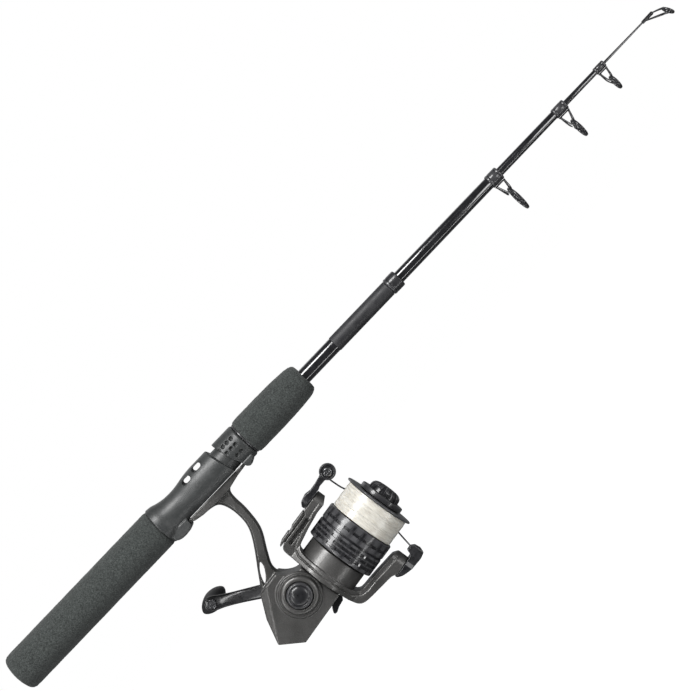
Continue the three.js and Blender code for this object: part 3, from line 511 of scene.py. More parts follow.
def line_paint():
    paint = Paint("line", Subsurface_Weight=0.25, Subsurface_Scale=0.0012, IOR=1.53, Coat_Weight=0.35)
    paint.shader.inputs["Coat Roughness"].default_value = 0.18
    paint.shader.inputs["Subsurface Radius"].default_value = (1.0, 0.9, 0.75)
    layer = paint.noise(5, 3, 0.6, paint.stretched(1.0, 0.3, 0.3))
    strand = paint.noise(0.5, 2, 0.5, paint.stretched(1.0, 0.12, 0.12))
    base = paint.ramp(layer, [(0.3, (0.45, 0.425, 0.37)), (0.7, (0.6, 0.58, 0.525))])
    clear = paint.ramp(strand, [(0.35, (0.38, 0.355, 0.305)), (0.65, (0.68, 0.665, 0.61))])
    paint.colour(paint.mixed(paint.spread(strand, 0.15, 0.5), base, clear))
    paint.rough(paint.spread(strand, 0.25, 0.42))
    paint.bumps((strand, 0.2, 0.06))
    return paint.material


def ceramic_paint():
    tones = ((0.012, 0.012, 0.014), (0.028, 0.028, 0.031))
    glaze = {"Coat_Weight": 0.8, "Coat_Roughness": 0.05}
    return plain_paint("ceramic", (1.5, 3, 0.5), *tones, (0.12, 0.22), (0.04, 0.03), **glaze)


def felt_paint():
    tones = ((0.19, 0.175, 0.15), (0.37, 0.345, 0.3))
    return plain_paint("felt", (0.4, 5, 0.7), *tones, (0.88, 0.98), (0.5, 0.2), Sheen_Weight=0.4)


PAINTS = {
    "foam": foam_paint(),
    "graphite_plastic": graphite_paint(),
    "blank": blank_paint(),
    "matt_black": matt_black_paint(),
    "gloss_black": gloss_black_paint("gloss_black", 0.35),
    "gunmetal": gunmetal_paint(),
    "steel": steel_paint(),
    "brass": brass_paint(),
    "line": line_paint(),
    "ceramic": ceramic_paint(),
    "felt": felt_paint(),
    "black_metal": gloss_black_paint("black_metal", 0.5),
}


def stands_for(made, node):
    """Finishes a piece that is shown in place of a CAD node, on the node's body and in its slot."""
    made.name = "look_" + node
    made.data.materials.clear()
    made.data.materials.append(PAINTS[SLOT_OF[node]])
    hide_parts(node)
    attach(made, BODY_OF[node])
    return made


# ---- handle ----
BLANK_REAR = 3
BLANK_FRONT = 340
BLANK_RADIUS = 4.95
BLANK_BORE = 4.3
WINDINGS_FROM = 283.4
WINDINGS_TO = 330.6
WINDING_PITCH = 0.6
HANDLE_BORE = 5.05
GRIP_END = 126.3
GRIP_RADIUS = 13.3
CAP_RADIUS = 8.5
CAP_ROOM = CAP_RADIUS + 0.15
FOREGRIP_REAR = 203.05
FOREGRIP_FRONT = 255.25
FOREGRIP_BORE = 5.35
NUT_ROOM = 10.75
BED_Z = -9.5                # the flat under the seat that the reel's foot lies on
FOAM_STEP = 0.6
FOAM_SIDES = 150
FOAM_WAVE = 0.07
FOAM_PITS = 0.1
FOAM_FINE_PITS = 0.06


def resampled(profile, step):
    """The same profile with a point at least every step."""
    made = []
    for (x0, r0), (x1, r1) in zip(profile, profile[1:]):
        count = max(1, round(math.hypot(x1 - x0, r1 - r0) / step))
        made += [(x0 + (x1 - x0) * n / count, r0 + (r1 - r0) * n / count) for n in range(count)]
    return [*made, profile[-1]]


def foam_grip(node, skin, bore, seed):
    """A foam grip: its skin is pitted by open cells and slightly uneven, and its bore is plain."""
    made = turned(node, [*resampled(skin, FOAM_STEP), *bore], ROD, FOAM_SIDES)
    for vertex in made.data.vertices:
        x, y, z = (value / MM for value in vertex.co)
        radius = math.hypot(y, z)
        if radius < HANDLE_BORE + 2:
            continue
        where = Vector((x, y, z)) + Vector((seed, 0, 0))
        wave = FOAM_WAVE * noise.noise(where * 0.12)
        pits = FOAM_PITS * noise.noise(where * 0.75) + FOAM_FINE_PITS * noise.noise(where * 1.6)
        scale = 1 + (wave + pits - FOAM_PITS) / radius
        vertex.co.y *= scale
        vertex.co.z *= scale
    made.data.shade_smooth()
    stands_for(made, node)


def make_grips():
    rear = [
        (0.05, CAP_ROOM), (0.05, 10.6), (0.5, 11.8), (1.3, 12.6), (2.6, 13.1), (6, GRIP_RADIUS),
        (GRIP_END - 2.2, GRIP_RADIUS), (GRIP_END - 1.1, 13.1), (GRIP_END - 0.3, 12.8),
        (GRIP_END - 0.05, 12.3),
    ]
    bore = [(GRIP_END - 0.05, HANDLE_BORE), (BLANK_REAR, HANDLE_BORE), (BLANK_REAR, CAP_ROOM)]
    foam_grip("rear_grip", rear, bore, 0)
    front = [
        (FOREGRIP_REAR, NUT_ROOM), (FOREGRIP_REAR, 11.8), (203.6, 12.4), (204.6, 12.7), (208, 12.9),
        (225, 12.9), (240, 12.5), (249, 11.8), (252, 11.2), (254, 10.3), (255, 9.2), (FOREGRIP_FRONT, 7.6),
    ]
    bore = [(FOREGRIP_FRONT, FOREGRIP_BORE), (232.3, FOREGRIP_BORE), (232.3, NUT_ROOM)]
    foam_grip("foregrip", front, bore, 400)


def make_butt_cap():
    rings = []
    for radius in (7.4, 5.2, 3.0):
        rings += [
            (0.0, radius + 0.35), (0.35, radius + 0.15), (0.35, radius - 0.15), (0.0, radius - 0.35),
        ]
    face = [(0.0, 0.0), *reversed(rings), (0.0, CAP_RADIUS - 0.1)]
    profile = [*face, (2.7, CAP_RADIUS - 0.1), (2.7, 4.15), (14, 4.15), (14, 0)]
    stands_for(machined(turned("butt_cap", profile)), "butt_cap")


def make_blank():
    tube = [
        (BLANK_REAR, BLANK_BORE), (BLANK_REAR, BLANK_RADIUS), (BLANK_FRONT, BLANK_RADIUS),
        (BLANK_FRONT, BLANK_BORE),
    ]
    stands_for(machined(turned("blank", tube, ROD, 64), 0.15), "base_section")
    windings = []
    x = WINDINGS_FROM
    while x < WINDINGS_TO:
        windings += [(x, 5.2), (x + 0.3, 5.36)]
        x += WINDING_PITCH
    wrap = [(283, 5), (283, 5.15), *windings, (331.4, 5.15), (331.4, 5)]
    made = turned("wrap", wrap, ROD, 72)
    made.data.shade_smooth()
    stands_for(made, "blank_wrap")
    collar = [
        (331.7, 5), (331.7, 5.5), (332.2, 5.85), (333.4, 5.85), (333.6, 5.7), (334, 5.7), (334.2, 5.85),
        (339.8, 5.85), (340.4, 5.3), (340.4, BLANK_BORE), (340.1, BLANK_BORE), (340.1, 5),
    ]
    stands_for(machined(turned("collar", collar), 0.12), "base_collar")


# Each section: its rear end, the mouth it comes out of, its front end, the radius up to that mouth,
# the radius at its front end and its bore.
SECTIONS = [
    ("section_2", 105.5, BLANK_FRONT, 430.5, 4.0, 3.85, 3.1),
    ("section_3", 169.5, 430.5, 489.5, 2.8, 2.75, 2.1),
    ("section_4", 209.5, 489.5, 524.5, 1.8, 1.75, 1.2),
]
# Each collar: its rear end, its front end, its bore and its radius.
COLLARS = [
    ("collar_2", 421.5, 430.5, 4.02, 4.6),
    ("collar_3", 480, 489.5, 2.86, 3.5),
    ("collar_4", 516.5, 524.5, 1.88, 2.4),
]


def make_sections():
    for node, start, mouth, end, rear, front, bore in SECTIONS:
        tube = [(start, bore), (start, rear), (mouth, rear), (end, front), (end, bore)]
        stands_for(machined(turned(node, tube, ROD, 64), 0.1), node)
    for node, start, end, bore, radius in COLLARS:
        groove = radius - 0.14
        edge = [
            (0, bore), (0, radius - 0.25), (0.5, radius), (1.5, radius), (1.7, groove), (2.0, groove),
            (2.2, radius),
        ]
        ring = [(start + x, r) for x, r in edge] + [(end - x, r) for x, r in reversed(edge)]
        stands_for(machined(turned(node, ring, ROD, 64), 0.06), node)
    tip = [(255, 0), (255, 1), (524, 0.85), (565, 0.5), (565, 0)]
    stands_for(machined(turned("tip", tip, ROD, 32), 0.1), "tip_section")


# ---- reel seat ----
SEAT_FRONT = 187
BARREL_RADIUS = 9.3
THREADS = 6
THREADS_FROM = 188
THREAD_PITCH = 4
THREAD_DEPTH = 0.6
HOOD_BORE = 9.7
HOOD_RADIUS = 12.2
DIMPLE_RADIUS = 1.3
DIMPLE_DEPTH = 1.6
# Each row of dimples: its height on the hood's side, and where along the rod its dimples are.
DIMPLE_ROWS = [(6.2, (186.6, 190, 193.5, 197)), (1.7, (189, 193, 196.6)), (-3.7, (192.6, 196.2))]


def tilted_half(x, degrees, ahead):
    """Everything in front of, or behind, a plane across the rod that leans by some degrees."""
    low, high = (0, 30) if ahead else (-40, 0)
    lean = Matrix.Rotation(math.radians(degrees), 4, "Y")
    return block(low, high, -20, 20, -30, 30, shifted(ROD, x, 0, 0) @ lean)


def slot_tool(x0, x1, z0, z1):
    """A round-ended slot right through the seat from side to side."""
    radius = (z1 - z0) / 2
    half = math.pi / 2
    right = arc(x1 - radius, z0 + radius, radius, -half, half)
    left = arc(x0 + radius, z0 + radius, radius, half, 3 * half)
    return prism(right + left, -15, 15)


def make_reel_seat():
    shell = smooth([
        (128.5, 13.3), (131, 13), (135, 11.7), (140, 10.65), (145, 10.35), (150, 10.55), (155, 11.3),
        (160, 12), (165, 12.35),
    ], 4)
    root = BARREL_RADIUS - THREAD_DEPTH
    threads = []
    for n in range(THREADS):
        x = THREADS_FROM + THREAD_PITCH * n
        threads += [(x, BARREL_RADIUS), (x + 1.2, BARREL_RADIUS), (x + 2, root), (x + 3, root)]
    start = GRIP_END + 0.2
    profile = [
        (start, HANDLE_BORE), (start, 13), (start + 0.8, 13.55), *shell, (SEAT_FRONT, 12.4),
        (SEAT_FRONT, BARREL_RADIUS), *threads, (227, BARREL_RADIUS), (228, 8.3), (228, HANDLE_BORE),
    ]
    seat = turned("seat", profile)
    hood = prism(smooth([
        (128, -8), (128.3, -12.6), (131, -14.6), (135.5, -15.1), (139, -14.4), (142, -12.6), (142.4, -8),
    ]), -9, 9)
    join(seat, bake(bevelled(hood, 2.4, 4, 50)))
    front = cut(tilted_half(182.2, -12.7, True), rod_x(BARREL_RADIUS, 150, 240))
    cut(
        seat,
        front,
        block(142, 200, -20, 20, -20, BED_Z),
        block(133.8, 143, -6.2, 6.2, -12.2, BED_Z),
        slot_tool(155.8, 162.6, 6.7, 9.7),
        slot_tool(165.6, 172.6, 7.9, 10.9),
        rod_x(HANDLE_BORE, 120, 240),
    )
    stands_for(cast(seat, 0.35, 7), "reel_seat")


def make_hood():
    sleeve = [
        (182, HOOD_BORE), (182, HOOD_RADIUS), (200.3, HOOD_RADIUS), (201.1, 11.9), (201.5, 11.4),
        (201.5, HOOD_BORE),
    ]
    hood = turned("hood", sleeve)
    lip = prism([
        (187, -9), (190.4, -11.6), (193.5, -14.4), (196.8, -12.8), (199, -11), (199, -9),
    ], -8.5, 8.5)
    join(hood, bake(bevelled(lip, 1.1, 3, 60)))
    dimples = []
    for z, places in DIMPLE_ROWS:
        reach = math.sqrt(HOOD_RADIUS ** 2 - z ** 2)
        for x in places:
            for low, high in ((reach - DIMPLE_DEPTH, 14), (-14, DIMPLE_DEPTH - reach)):
                dimples.append(rod_x(DIMPLE_RADIUS, low, high, across(ROD, x, z), 20))
    cut(
        hood,
        rod_x(HOOD_BORE, 170, 210),
        block(170, 196.3, -6.2, 6.2, -12.2, -9),
        tilted_half(188.2, -15, False),
        *dimples,
    )
    stands_for(cast(hood, 0.28, 2), "movable_hood")


def make_lock_nut():
    profile = [
        (201.8, HOOD_BORE), (201.8, 11.3), (202.1, 11.7), (202.8, 11.7), (202.8, 10.6), (232, 10.6),
        (232, HOOD_BORE),
    ]
    stands_for(machined(turned("nut", profile), 0.1), "lock_nut")


# ---- guides ----
GUIDE_BAND = 1.5
# Each guide: where it stands, the ring's outer radius, how far the ring's centre hangs below the
# rod's axis, both ends of its foot, the height of the foot's top and the radius of its wire.
GUIDES = [
    ("guide_2", 427.3, 9.1, 19.4, (422, 430), -4.7, 0.6),
    ("guide_3", 485, 7.1, 16.6, (480.5, 489), -3.6, 0.5),
    ("guide_4", 521, 5.4, 13.35, (517, 524), -2.5, 0.45),
]
# The tip's ring: x and z of its centre, its outer radius and how many degrees it leans.
TIP_RING = (575.6, -6.2, 4.15, 25)
TIP_BAND = 0.85
TIP_WIRE = 0.42
TIP_BORE = 0.62


def round_band(name, inner, outer, width, place):
    """A ring about the local X axis with a rounded section."""
    middle = (inner + outer) / 2
    section = []
    for n in range(16):
        angle = 2 * math.pi * n / 16
        reach = (abs(math.cos(angle)) ** 4 + abs(math.sin(angle)) ** 4) ** -0.25
        section.append((
            width / 2 * reach * math.cos(angle), middle + (outer - inner) / 2 * reach * math.sin(angle)
        ))
    return turned(name, section, place, 72)


def make_guides():
    for name, x, radius, drop, foot, foot_z, wire in GUIDES:
        place = shifted(ROD, x, 0, -drop)
        frame_band = round_band(name, radius - GUIDE_BAND, radius, 1.6, place)
        parts = [block(foot[0], foot[1], -1.3, 1.3, foot_z - 0.9, foot_z)]
        for side in (-1, 1):
            parts.append(bar("leg", [
                (foot[0] + 0.8, side * 0.7, foot_z - 0.5),
                (x - 2.6, side * radius * 0.45, -drop + radius * 0.78),
                (x - 0.1, side * (radius * 0.93 - 0.4), -drop - radius * 0.1),
            ], wire))
            parts.append(bar("leg", [
                (foot[1] - 0.6, side * 0.7, foot_z - 0.5),
                (x + 1.2, side * radius * 0.3, -drop + radius * 0.93),
                (x + 0.1, side * radius * 0.55, -drop + radius * 0.73),
            ], wire))
        join(frame_band, *parts)
        cut(frame_band, rod_x(radius - GUIDE_BAND, -6, 6, place, 72))
        stands_for(cast(frame_band, 0.18, 1), f"{name}_frame")
        insert = round_band(name, radius - 2 * GUIDE_BAND, radius - GUIDE_BAND - 0.1, 2.2, place)
        insert.data.shade_smooth()
        stands_for(insert, f"{name}_ring")


def make_tip_top():
    x, z, radius, tilt = TIP_RING
    place = shifted(ROD, x, 0, z) @ Matrix.Rotation(math.radians(-tilt), 4, "Y")
    sleeve = turned("tip_top", [
        (559, TIP_BORE), (559, 1.05), (567.5, 1.2), (568, 0.8), (568, 0), (565.3, 0), (565.3, TIP_BORE),
    ], ROD, 32)
    parts = [round_band("band", radius - TIP_BAND, radius, 1.3, place)]
    for side in (-1, 1):
        lower = [(562, side * 0.7, -0.9), (569, side * 2.4, -4.2), (575.8, side * 3.4, -7.5)]
        upper = [(567, side * 0.45, 0.2), (571, side * 1.5, -1.3), (574.6, side * 2, -3)]
        parts += [bar("leg", lower, TIP_WIRE), bar("leg", upper, TIP_WIRE)]
    join(sleeve, *parts)
    cut(sleeve, rod_x(radius - TIP_BAND, -3, 3, place, 72), rod_x(TIP_BORE, 550, 565.3))
    stands_for(cast(sleeve, 0.16, 1), "tip_top_frame")
    insert = round_band("tip_ring", radius - 1.65, radius - 0.95, 1.8, place)
    insert.data.shade_smooth()
    stands_for(insert, "tip_top_ring")


# ---- reel body ----
HOUSING_HALF = 15
HOUSING_FRONT = 14.8
COVER_SPLIT = 11
STEM_HALF = 4.6
CREASE = math.radians(48.4)
COVER_SCREWS = [(-25.4, -3), (10, -10), (-2, 21)]
SCREW_HOLE = 1.3
BUSH_HOLE = 5.2


def housing_block():
    nose = smooth([(HOUSING_FRONT, 14.9), (9.6, 16.7), (5.2, 20.4), (2, 25.5)], 5)
    outline = [(-31.8, -1.8), (-20.4, -14.4), (HOUSING_FRONT, -13.9), *nose, (-13.6, 25.6), (-23.8, 13.2)]
    housing = prism(outline, -HOUSING_HALF, HOUSING_HALF, place=REEL)
    bake(bevelled(housing, 1.6, 3, 50))
    wedges = []
    for side in (-1, 1):
        lean = Matrix.Rotation(-CREASE, 4, "Y") @ Matrix.Rotation(side * math.radians(34), 4, "X")
        reach = (0, 40) if side > 0 else (-40, 0)
        hinge = shifted(REEL, -31.8, side * HOUSING_HALF, -2.2)
        wedges.append(block(-60, 60, *reach, 0, 60, hinge @ lean))
    return cut(housing, *wedges)


def pillowed(outline, half, inset, place):
    """An outline in the XZ plane, full in mid thickness and drawn in toward both of its faces."""
    after = outline[1:] + outline[:1]
    ends = list(zip(outline[-1:] + outline[:-1], after))
    area = sum(x0 * z1 - x1 * z0 for (x0, z0), (x1, z1) in zip(outline, after))
    rings = []
    for layer in range(-5, 6):
        lean = layer / 5 * math.pi / 2
        pull = math.copysign(inset * (1 - math.cos(lean)), area)
        ring = []
        for (x, z), ((x0, z0), (x1, z1)) in zip(outline, ends):
            length = math.hypot(x1 - x0, z1 - z0)
            inward = (x - (z1 - z0) / length * pull, z + (x1 - x0) / length * pull)
            ring.append((inward[0], half * math.sin(lean), inward[1]))
        rings.append(ring)
    return loft("pillow", rings, place)


def stem_block():
    rear = smooth([
        (-23.8, 13.2), (-16.8, 22), (-6.4, 33), (7.2, 46.8), (14, 56.4), (16.2, 66.5), (15.6, 75),
        (12.6, 79.6), (4, 82.4),
    ], 5)
    front = smooth([
        (30, 80.4), (25.6, 78), (23.9, 73), (22.6, 63), (18.4, 49.2), (9.4, 37.6), (4, 30), (3.8, 24),
        (8, 17.6), (13.8, 14.9),
    ], 5)
    stem = cast(pillowed([*rear, (4, 92), (30, 92), *front, (8, 6)], STEM_HALF, 3.1, REEL), 0.5, 2)
    return cut(stem, block(100, 240, -20, 20, BED_Z - 0.3, 40))


def foot_block():
    top = BED_Z - 0.3
    side = prism([
        (134.6, top), (134.6, -11.3), (143.2, -11.9), (145, -13), (151, -14.2), (160, -14.8), (172, -14.9),
        (182, -12.8), (194.6, -11.2), (194.6, top),
    ], -10, 10)
    half = [(134.6, 0), (136, 3.8), (142, 5.5), (165, 7), (188, 5.5), (193.4, 3.8), (194.6, 0)]
    near = smooth([(x, -y) for x, y in half], 5)
    far = smooth(half[::-1], 5)
    return common(side, prism(near[:-1] + far[:-1], -20, top + 1, "XY"))


def make_reel_body():
    cx, cz = CRANK_AXIS
    shaft = across(REEL, cx, cz)
    housing = cut(housing_block(), block(-60, 60, COVER_SPLIT, 40, -60, 60, REEL))
    boss = turned("boss", [
        (-19.6, 0), (-19.6, 9.6), (-19.2, 10.9), (-18.6, 11.7), (-17.4, 12.2), (-16.4, 12.2), (-16.1, 12.5),
        (-16.4, 12.9), (-16.6, 13.5), (-15.9, 14.3), (-14, 14.3), (-14, 0),
    ], shaft)
    window = [
        *smooth([(-9.2, 26), (-6.6, 30.6), (-3, 34.6), (1.6, 37.8)]),
        *smooth([(1.6, 37.8), (0.2, 33.4), (-4.6, 28.4), (-9.2, 26)])[1:-1],
    ]
    body = join(housing, boss, stem_block(), foot_block())
    cavity = [
        (-22.5, 1.5), (-13, 9.2), (-6, 14.6), (2, 17.2), (10.5, 13.5), (10.5, -6.5), (6.5, -11.3),
        (-17.8, -11.6), (-22.5, -7),
    ]
    cut(
        body,
        block(HOUSING_FRONT, 30, -30, 30, -30, 30, REEL),
        prism(cavity, -12, 25, place=REEL),
        prism(window, -20, 20, place=REEL),
        rod_x(8.6, -30, -17, shaft, 72),
        rod_x(BUSH_HOLE, -30, 0, shaft),
        rod_x(6.8, 5, 20, REEL),
        rod_x(1.6, -20, -8, upward(REEL, 8.5, 0), 24),
    )
    stands_for(cast(body, 0.38, 6), "reel_body")


def make_side_cover():
    cx, cz = CRANK_AXIS
    shaft = across(REEL, cx, cz)
    plate = cut(housing_block(), block(-60, 60, -40, COVER_SPLIT + 0.3, -60, 60, REEL))
    join(plate, turned("boss", [(14, 0), (14, 10.5), (16.4, 10), (17, 9.2), (17, 0)], shaft))
    over_stem = [(-30, 17), (-8, 44), (20, 44), (20, 23.5), (-1, 25), (-14, 25)]
    holes = [rod_x(SCREW_HOLE, 0, 40, across(REEL, x, z), 24) for x, z in COVER_SCREWS]
    cut(plate, prism(over_stem, 0, 30, place=REEL), rod_x(BUSH_HOLE, 0, 40, shaft), *holes)
    stands_for(cast(plate, 0.32, 2), "side_cover")


def make_cover_screws():
    for n, (x, z) in enumerate(COVER_SCREWS):
        place = across(REEL, x, z)
        screw = turned("screw", [
            (5, 0), (5, 1), (15.2, 1), (15.2, 2.1), (15.9, 2), (16.4, 1.2), (16.4, 0),
        ], place, 32)
        cut(screw, block(x - 3, x + 3, 15.9, 18, z - 0.3, z + 0.3, REEL))
        stands_for(machined(screw, 0.06), f"cover_screw_{n + 1}")


def make_screw_cap():
    cx, cz = CRANK_AXIS
    profile = [
        (-21.7, 0), (-21.65, 2.4), (-21.4, 4.4), (-20.9, 5.6), (-20.6, 5.9), (-20.6, 6.2), (-21, 6.6),
        (-20.9, 7.2), (-20.5, 7.8), (-19.8, 8.2), (-17.3, 8.2), (-17.3, 0),
    ]
    stands_for(machined(turned("cap", profile, across(REEL, cx, cz)), 0.1), "screw_cap")


# ---- crank ----
def rounded_ring(centre, wide, high, half_width, half_height, power, sides=32):
    """A rounded rectangle about a centre, along two directions."""
    ring = []
    for n in range(sides):
        angle = 2 * math.pi * n / sides
        a = math.copysign(abs(math.cos(angle)) ** (2 / power), math.cos(angle))
        b = math.copysign(abs(math.sin(angle)) ** (2 / power), math.sin(angle))
        aside = Vector(centre) + Vector(wide) * half_width * a
        ring.append(tuple(aside + Vector(high) * half_height * b))
    return ring


def make_crank_arm():
    # Each station: the arm's underside and top in x and y, and its half width.
    stations = [
        (-3.2, 32.2, -3.2, 34.6, 1.6), (-2.4, 30.8, -2.9, 35.6, 2.6), (0.5, 29.6, -1, 36.5, 3.0),
        (4, 31.1, 2, 37, 3.0), (7, 32.6, 5.5, 38.4, 3.1), (10, 35, 8.4, 39.8, 4.3),
        (14, 37.4, 12, 41.6, 4.85), (20, 40.2, 18.5, 44.6, 4.8), (26, 42.6, 25, 47, 4.65),
        (33, 45.2, 32, 49.4, 4.45), (40, 47.4, 39, 51.4, 4.25), (48, 49.2, 47, 53, 4.15),
        (55, 50.3, 54.4, 54, 4.4), (58.5, 50.6, 58.3, 54.2, 5), (61.2, 50.7, 61.2, 54.2, 5.2),
        (64, 50.8, 64, 54.1, 4.6), (65.8, 51, 65.8, 53.9, 3.0), (66.5, 51.6, 66.5, 53.3, 1.4),
    ]
    rings = []
    for x0, y0, x1, y1, half_width in stations:
        rise = Vector((x1 - x0, y1 - y0, 0))
        centre = ((x0 + x1) / 2, (y0 + y1) / 2, 0)
        rings.append(rounded_ring(centre, (0, 0, 1), rise.normalized(), half_width, rise.length / 2, 3.4))
    arm = loft("arm", rings, CRANK)
    subdivided(arm)
    hinge_hole = rod_x(1.7, -8, 8, upward(CRANK, 0, 33), 32)
    knob_hole = rod_x(1.5, 40, 60, across(CRANK, CRANK_LENGTH, 0), 32)
    cut(arm, hinge_hole, knob_hole)
    stands_for(machined(arm, 0.25, 40), "crank_arm")


def make_knob():
    x = CRANK_AXIS[0] + CRANK_LENGTH * math.cos(CRANK_ANGLE)
    z = CRANK_AXIS[1] + CRANK_LENGTH * math.sin(CRANK_ANGLE)
    place = shifted(REEL, x, 0, z)
    # Each station: height, and the half length and half width of the leaf shape there.
    stations = [
        (54.6, 4.2, 3.9), (55.4, 4.5, 4.1), (57.5, 5.0, 4.3), (60, 7.3, 5.0), (62.5, 9.6, 5.8),
        (65, 10.7, 6.4), (67.5, 11.0, 6.6), (70, 10.7, 6.5), (72.5, 9.6, 5.9), (74.4, 7.6, 4.8),
        (75.5, 5.0, 3.2), (75.9, 2.0, 1.4),
    ]
    rings = [
        rounded_ring((0, y, 0), (1, 0, 0), (0, 0, 1), long, wide, 1.75, 40) for y, long, wide in stations
    ]
    knob = loft("knob", rings, place)
    subdivided(knob)
    cut(knob, rod_x(1.6, 40, 72, across(place, 0, 0), 32))
    stands_for(machined(knob, 0.25, 40), "crank_knob")


# ---- rotor and bail ----
ROTOR_BACK = 15.4
ROTOR_WEB = 21.4
CUP_RADIUS = 19.8
ARM_HALF = 7.5
BAIL_PIVOT = 51
ROLLER_AT = (71, 36.7)
SHANK_BORE = 3.3
PIVOT_BORE = 1.6
SCREW_BORE = 1.5
GROOVE_HALF = 0.45


def pivot_hole(low, high):
    return rod_x(PIVOT_BORE, low, high, upward(REEL, BAIL_PIVOT, 0), 24)


def rotor_side():
    lower = smooth([(ROTOR_BACK, -20), (16.3, -25.4), (18.6, -28.8), (22.6, -30.4)], 4)
    inner = smooth([(27.5, -23.9), (24.2, -23), (22.2, -20.4), (ROTOR_WEB, -16)], 4)
    upper = smooth([(ROTOR_WEB, 16), (22, 20.3), (23.8, 22.8), (27, 23.8)], 4)
    back = smooth([(20, 32), (17.2, 31.2), (15.8, 29.2), (ROTOR_BACK, 26)], 4)
    return [
        *lower, (28, -31.3), (42, -33.4), (46, -35.3), (57.8, -35.3), (57.8, -28.4), (54, -26.2),
        (34, -24.2), *inner, *upper, (36, 25.4), (47, 26.7), (53, 26.4), (57.8, 28.8), (57.8, 34),
        (43, 34), (41, 32), *back,
    ]


def rotor_back_view():
    lean = 0.6
    left = arc(0, 0, 20.5, -lean, lean)
    right = arc(0, 0, 20.5, math.pi - lean, math.pi + lean)
    return [
        *left, (8.4, 23.6), (ARM_HALF, 36), (-ARM_HALF, 36), (-8.4, 23.6),
        *right, (-8.4, -23.6), (-ARM_HALF, -36), (ARM_HALF, -36), (8.4, -23.6),
    ]


def rotor_frame(shrink=1.0):
    """The C of the rotor: what its side, back and top outlines share, slimmed across by shrink."""
    half = math.pi / 2
    plan = [
        (10, -22), (30, -22), (30, -9),
        *arc(BAIL_PIVOT - 0.9, 0, ARM_HALF, -half, half),
        (30, 9), (30, 22), (10, 22),
    ]
    slim = REEL @ Matrix.Diagonal((1, shrink, 1, 1))
    side = prism(rotor_side(), -21, 21, place=slim)
    return common(
        side,
        prism(rotor_back_view(), 10, 60, "YZ", slim),
        prism(plan, -40, 40, "XY", slim),
    )


def rotor_groove():
    """A shallow line that follows the inside of the C on both faces."""
    path = [
        (60, -31), (53, -29.2), (34, -27), (27, -26.6), (22, -24.8), (19.4, -21), (18.7, -16), (18.7, 16),
        (19.3, 21.4), (21.8, 25.2), (27, 26.6), (36, 28.2), (46, 29.4), (52, 29.4),
    ]
    line = smooth(path, 4)
    outer = []
    inner = []
    for n, (x, z) in enumerate(line):
        x0, z0 = line[max(n - 1, 0)]
        x1, z1 = line[min(n + 1, len(line) - 1)]
        length = math.hypot(x1 - x0, z1 - z0)
        sx = -(z1 - z0) / length * GROOVE_HALF
        sz = (x1 - x0) / length * GROOVE_HALF
        outer.append((x + sx, z + sz))
        inner.append((x - sx, z - sz))
    return cut(prism(outer + inner[::-1], -25, 25, place=REEL), rotor_frame(0.93))


def make_rotor():
    rotor = cut(rotor_frame(), rotor_groove())
    cup = turned("cup", [
        (17, 0), (17, 18.9), (17.9, CUP_RADIUS), (32.6, CUP_RADIUS), (33.2, CUP_RADIUS - 0.5),
        (33.2, CUP_RADIUS - 1.5), (ROTOR_WEB, CUP_RADIUS - 1.5), (ROTOR_WEB, 0),
    ], REEL)
    join(rotor, cup)
    cut(
        rotor,
        rod_x(SHANK_BORE, 0, 40, REEL),
        turned("recess", [(10, 0), (10, 12), (16.6, 12), (16.6, 0)], REEL),
        block(23, 50, -3, 3, 29, 40, REEL),
        block(21.5, 40.5, 5.4, 12, 27.9, 30.3, REEL),
        block(21.5, 40.5, -12, -5.4, 27.9, 30.3, REEL),
        pivot_hole(-40, -30),
        pivot_hole(30, 40),
    )
    stands_for(cast(rotor, 0.34, 2), "rotor")


def make_roller():
    place = across(REEL, *ROLLER_AT)
    profile = [
        (-5.3, 1.5), (-5.3, 4.3), (-4.4, 4.3), (-3.8, 3.8), (-3.2, 3.5), (-2.6, 3.5), (-2.0, 3.8),
        (-1.5, 4.3), (-0.6, 4.3), (-0.6, 1.5),
    ]
    stands_for(machined(turned("roller", profile, place, 64), 0.12), "line_roller")
    screw = turned("screw", [
        (-9.7, 0), (-9.7, 2.2), (-9.2, 2.8), (-8.6, 2.8), (-8.6, 1.2), (1.6, 1.2), (1.6, 0),
    ], place, 40)
    x, z = ROLLER_AT
    cut(screw, block(x - 4, x + 4, -11, -9.2, z - 0.35, z + 0.35, REEL))
    stands_for(machined(screw, 0.08), "roller_screw")


def make_bail_arm():
    x, z = ROLLER_AT
    place = across(REEL, x, z)
    side = [
        (43.4, 34.5), (59, 34.5), (61, 35.2), (68, 34.6), (68, 39.6), (60, 38.4), (55, 38.2), (50.5, 39.3),
        (46, 38.5), (43.2, 36),
    ]
    plan = [
        *arc(BAIL_PIVOT, 0, ARM_HALF, math.pi / 2, 1.55 * math.pi),
        (66, -8.2), (70, -8), (70, -5.5), (65, -5.2), (57, 4),
    ]
    arm = common(prism(side, -9, 9, place=REEL), prism(plan, 30, 44, "XY", REEL))
    # The head's outer face is dished round the screw.
    head = turned("head", [
        (-8.35, 0), (-7.9, 2.9), (-7.9, 3.9), (-8.4, 4.4), (-8.3, 5.0), (-7.9, 5.3), (-5.6, 5.3), (-5.6, 0),
    ], place)
    join(arm, head)
    cut(arm, rod_x(SCREW_BORE, -20, 0, place, 32), pivot_hole(30, 37))
    stands_for(cast(arm, 0.26, 2), "bail_arm")


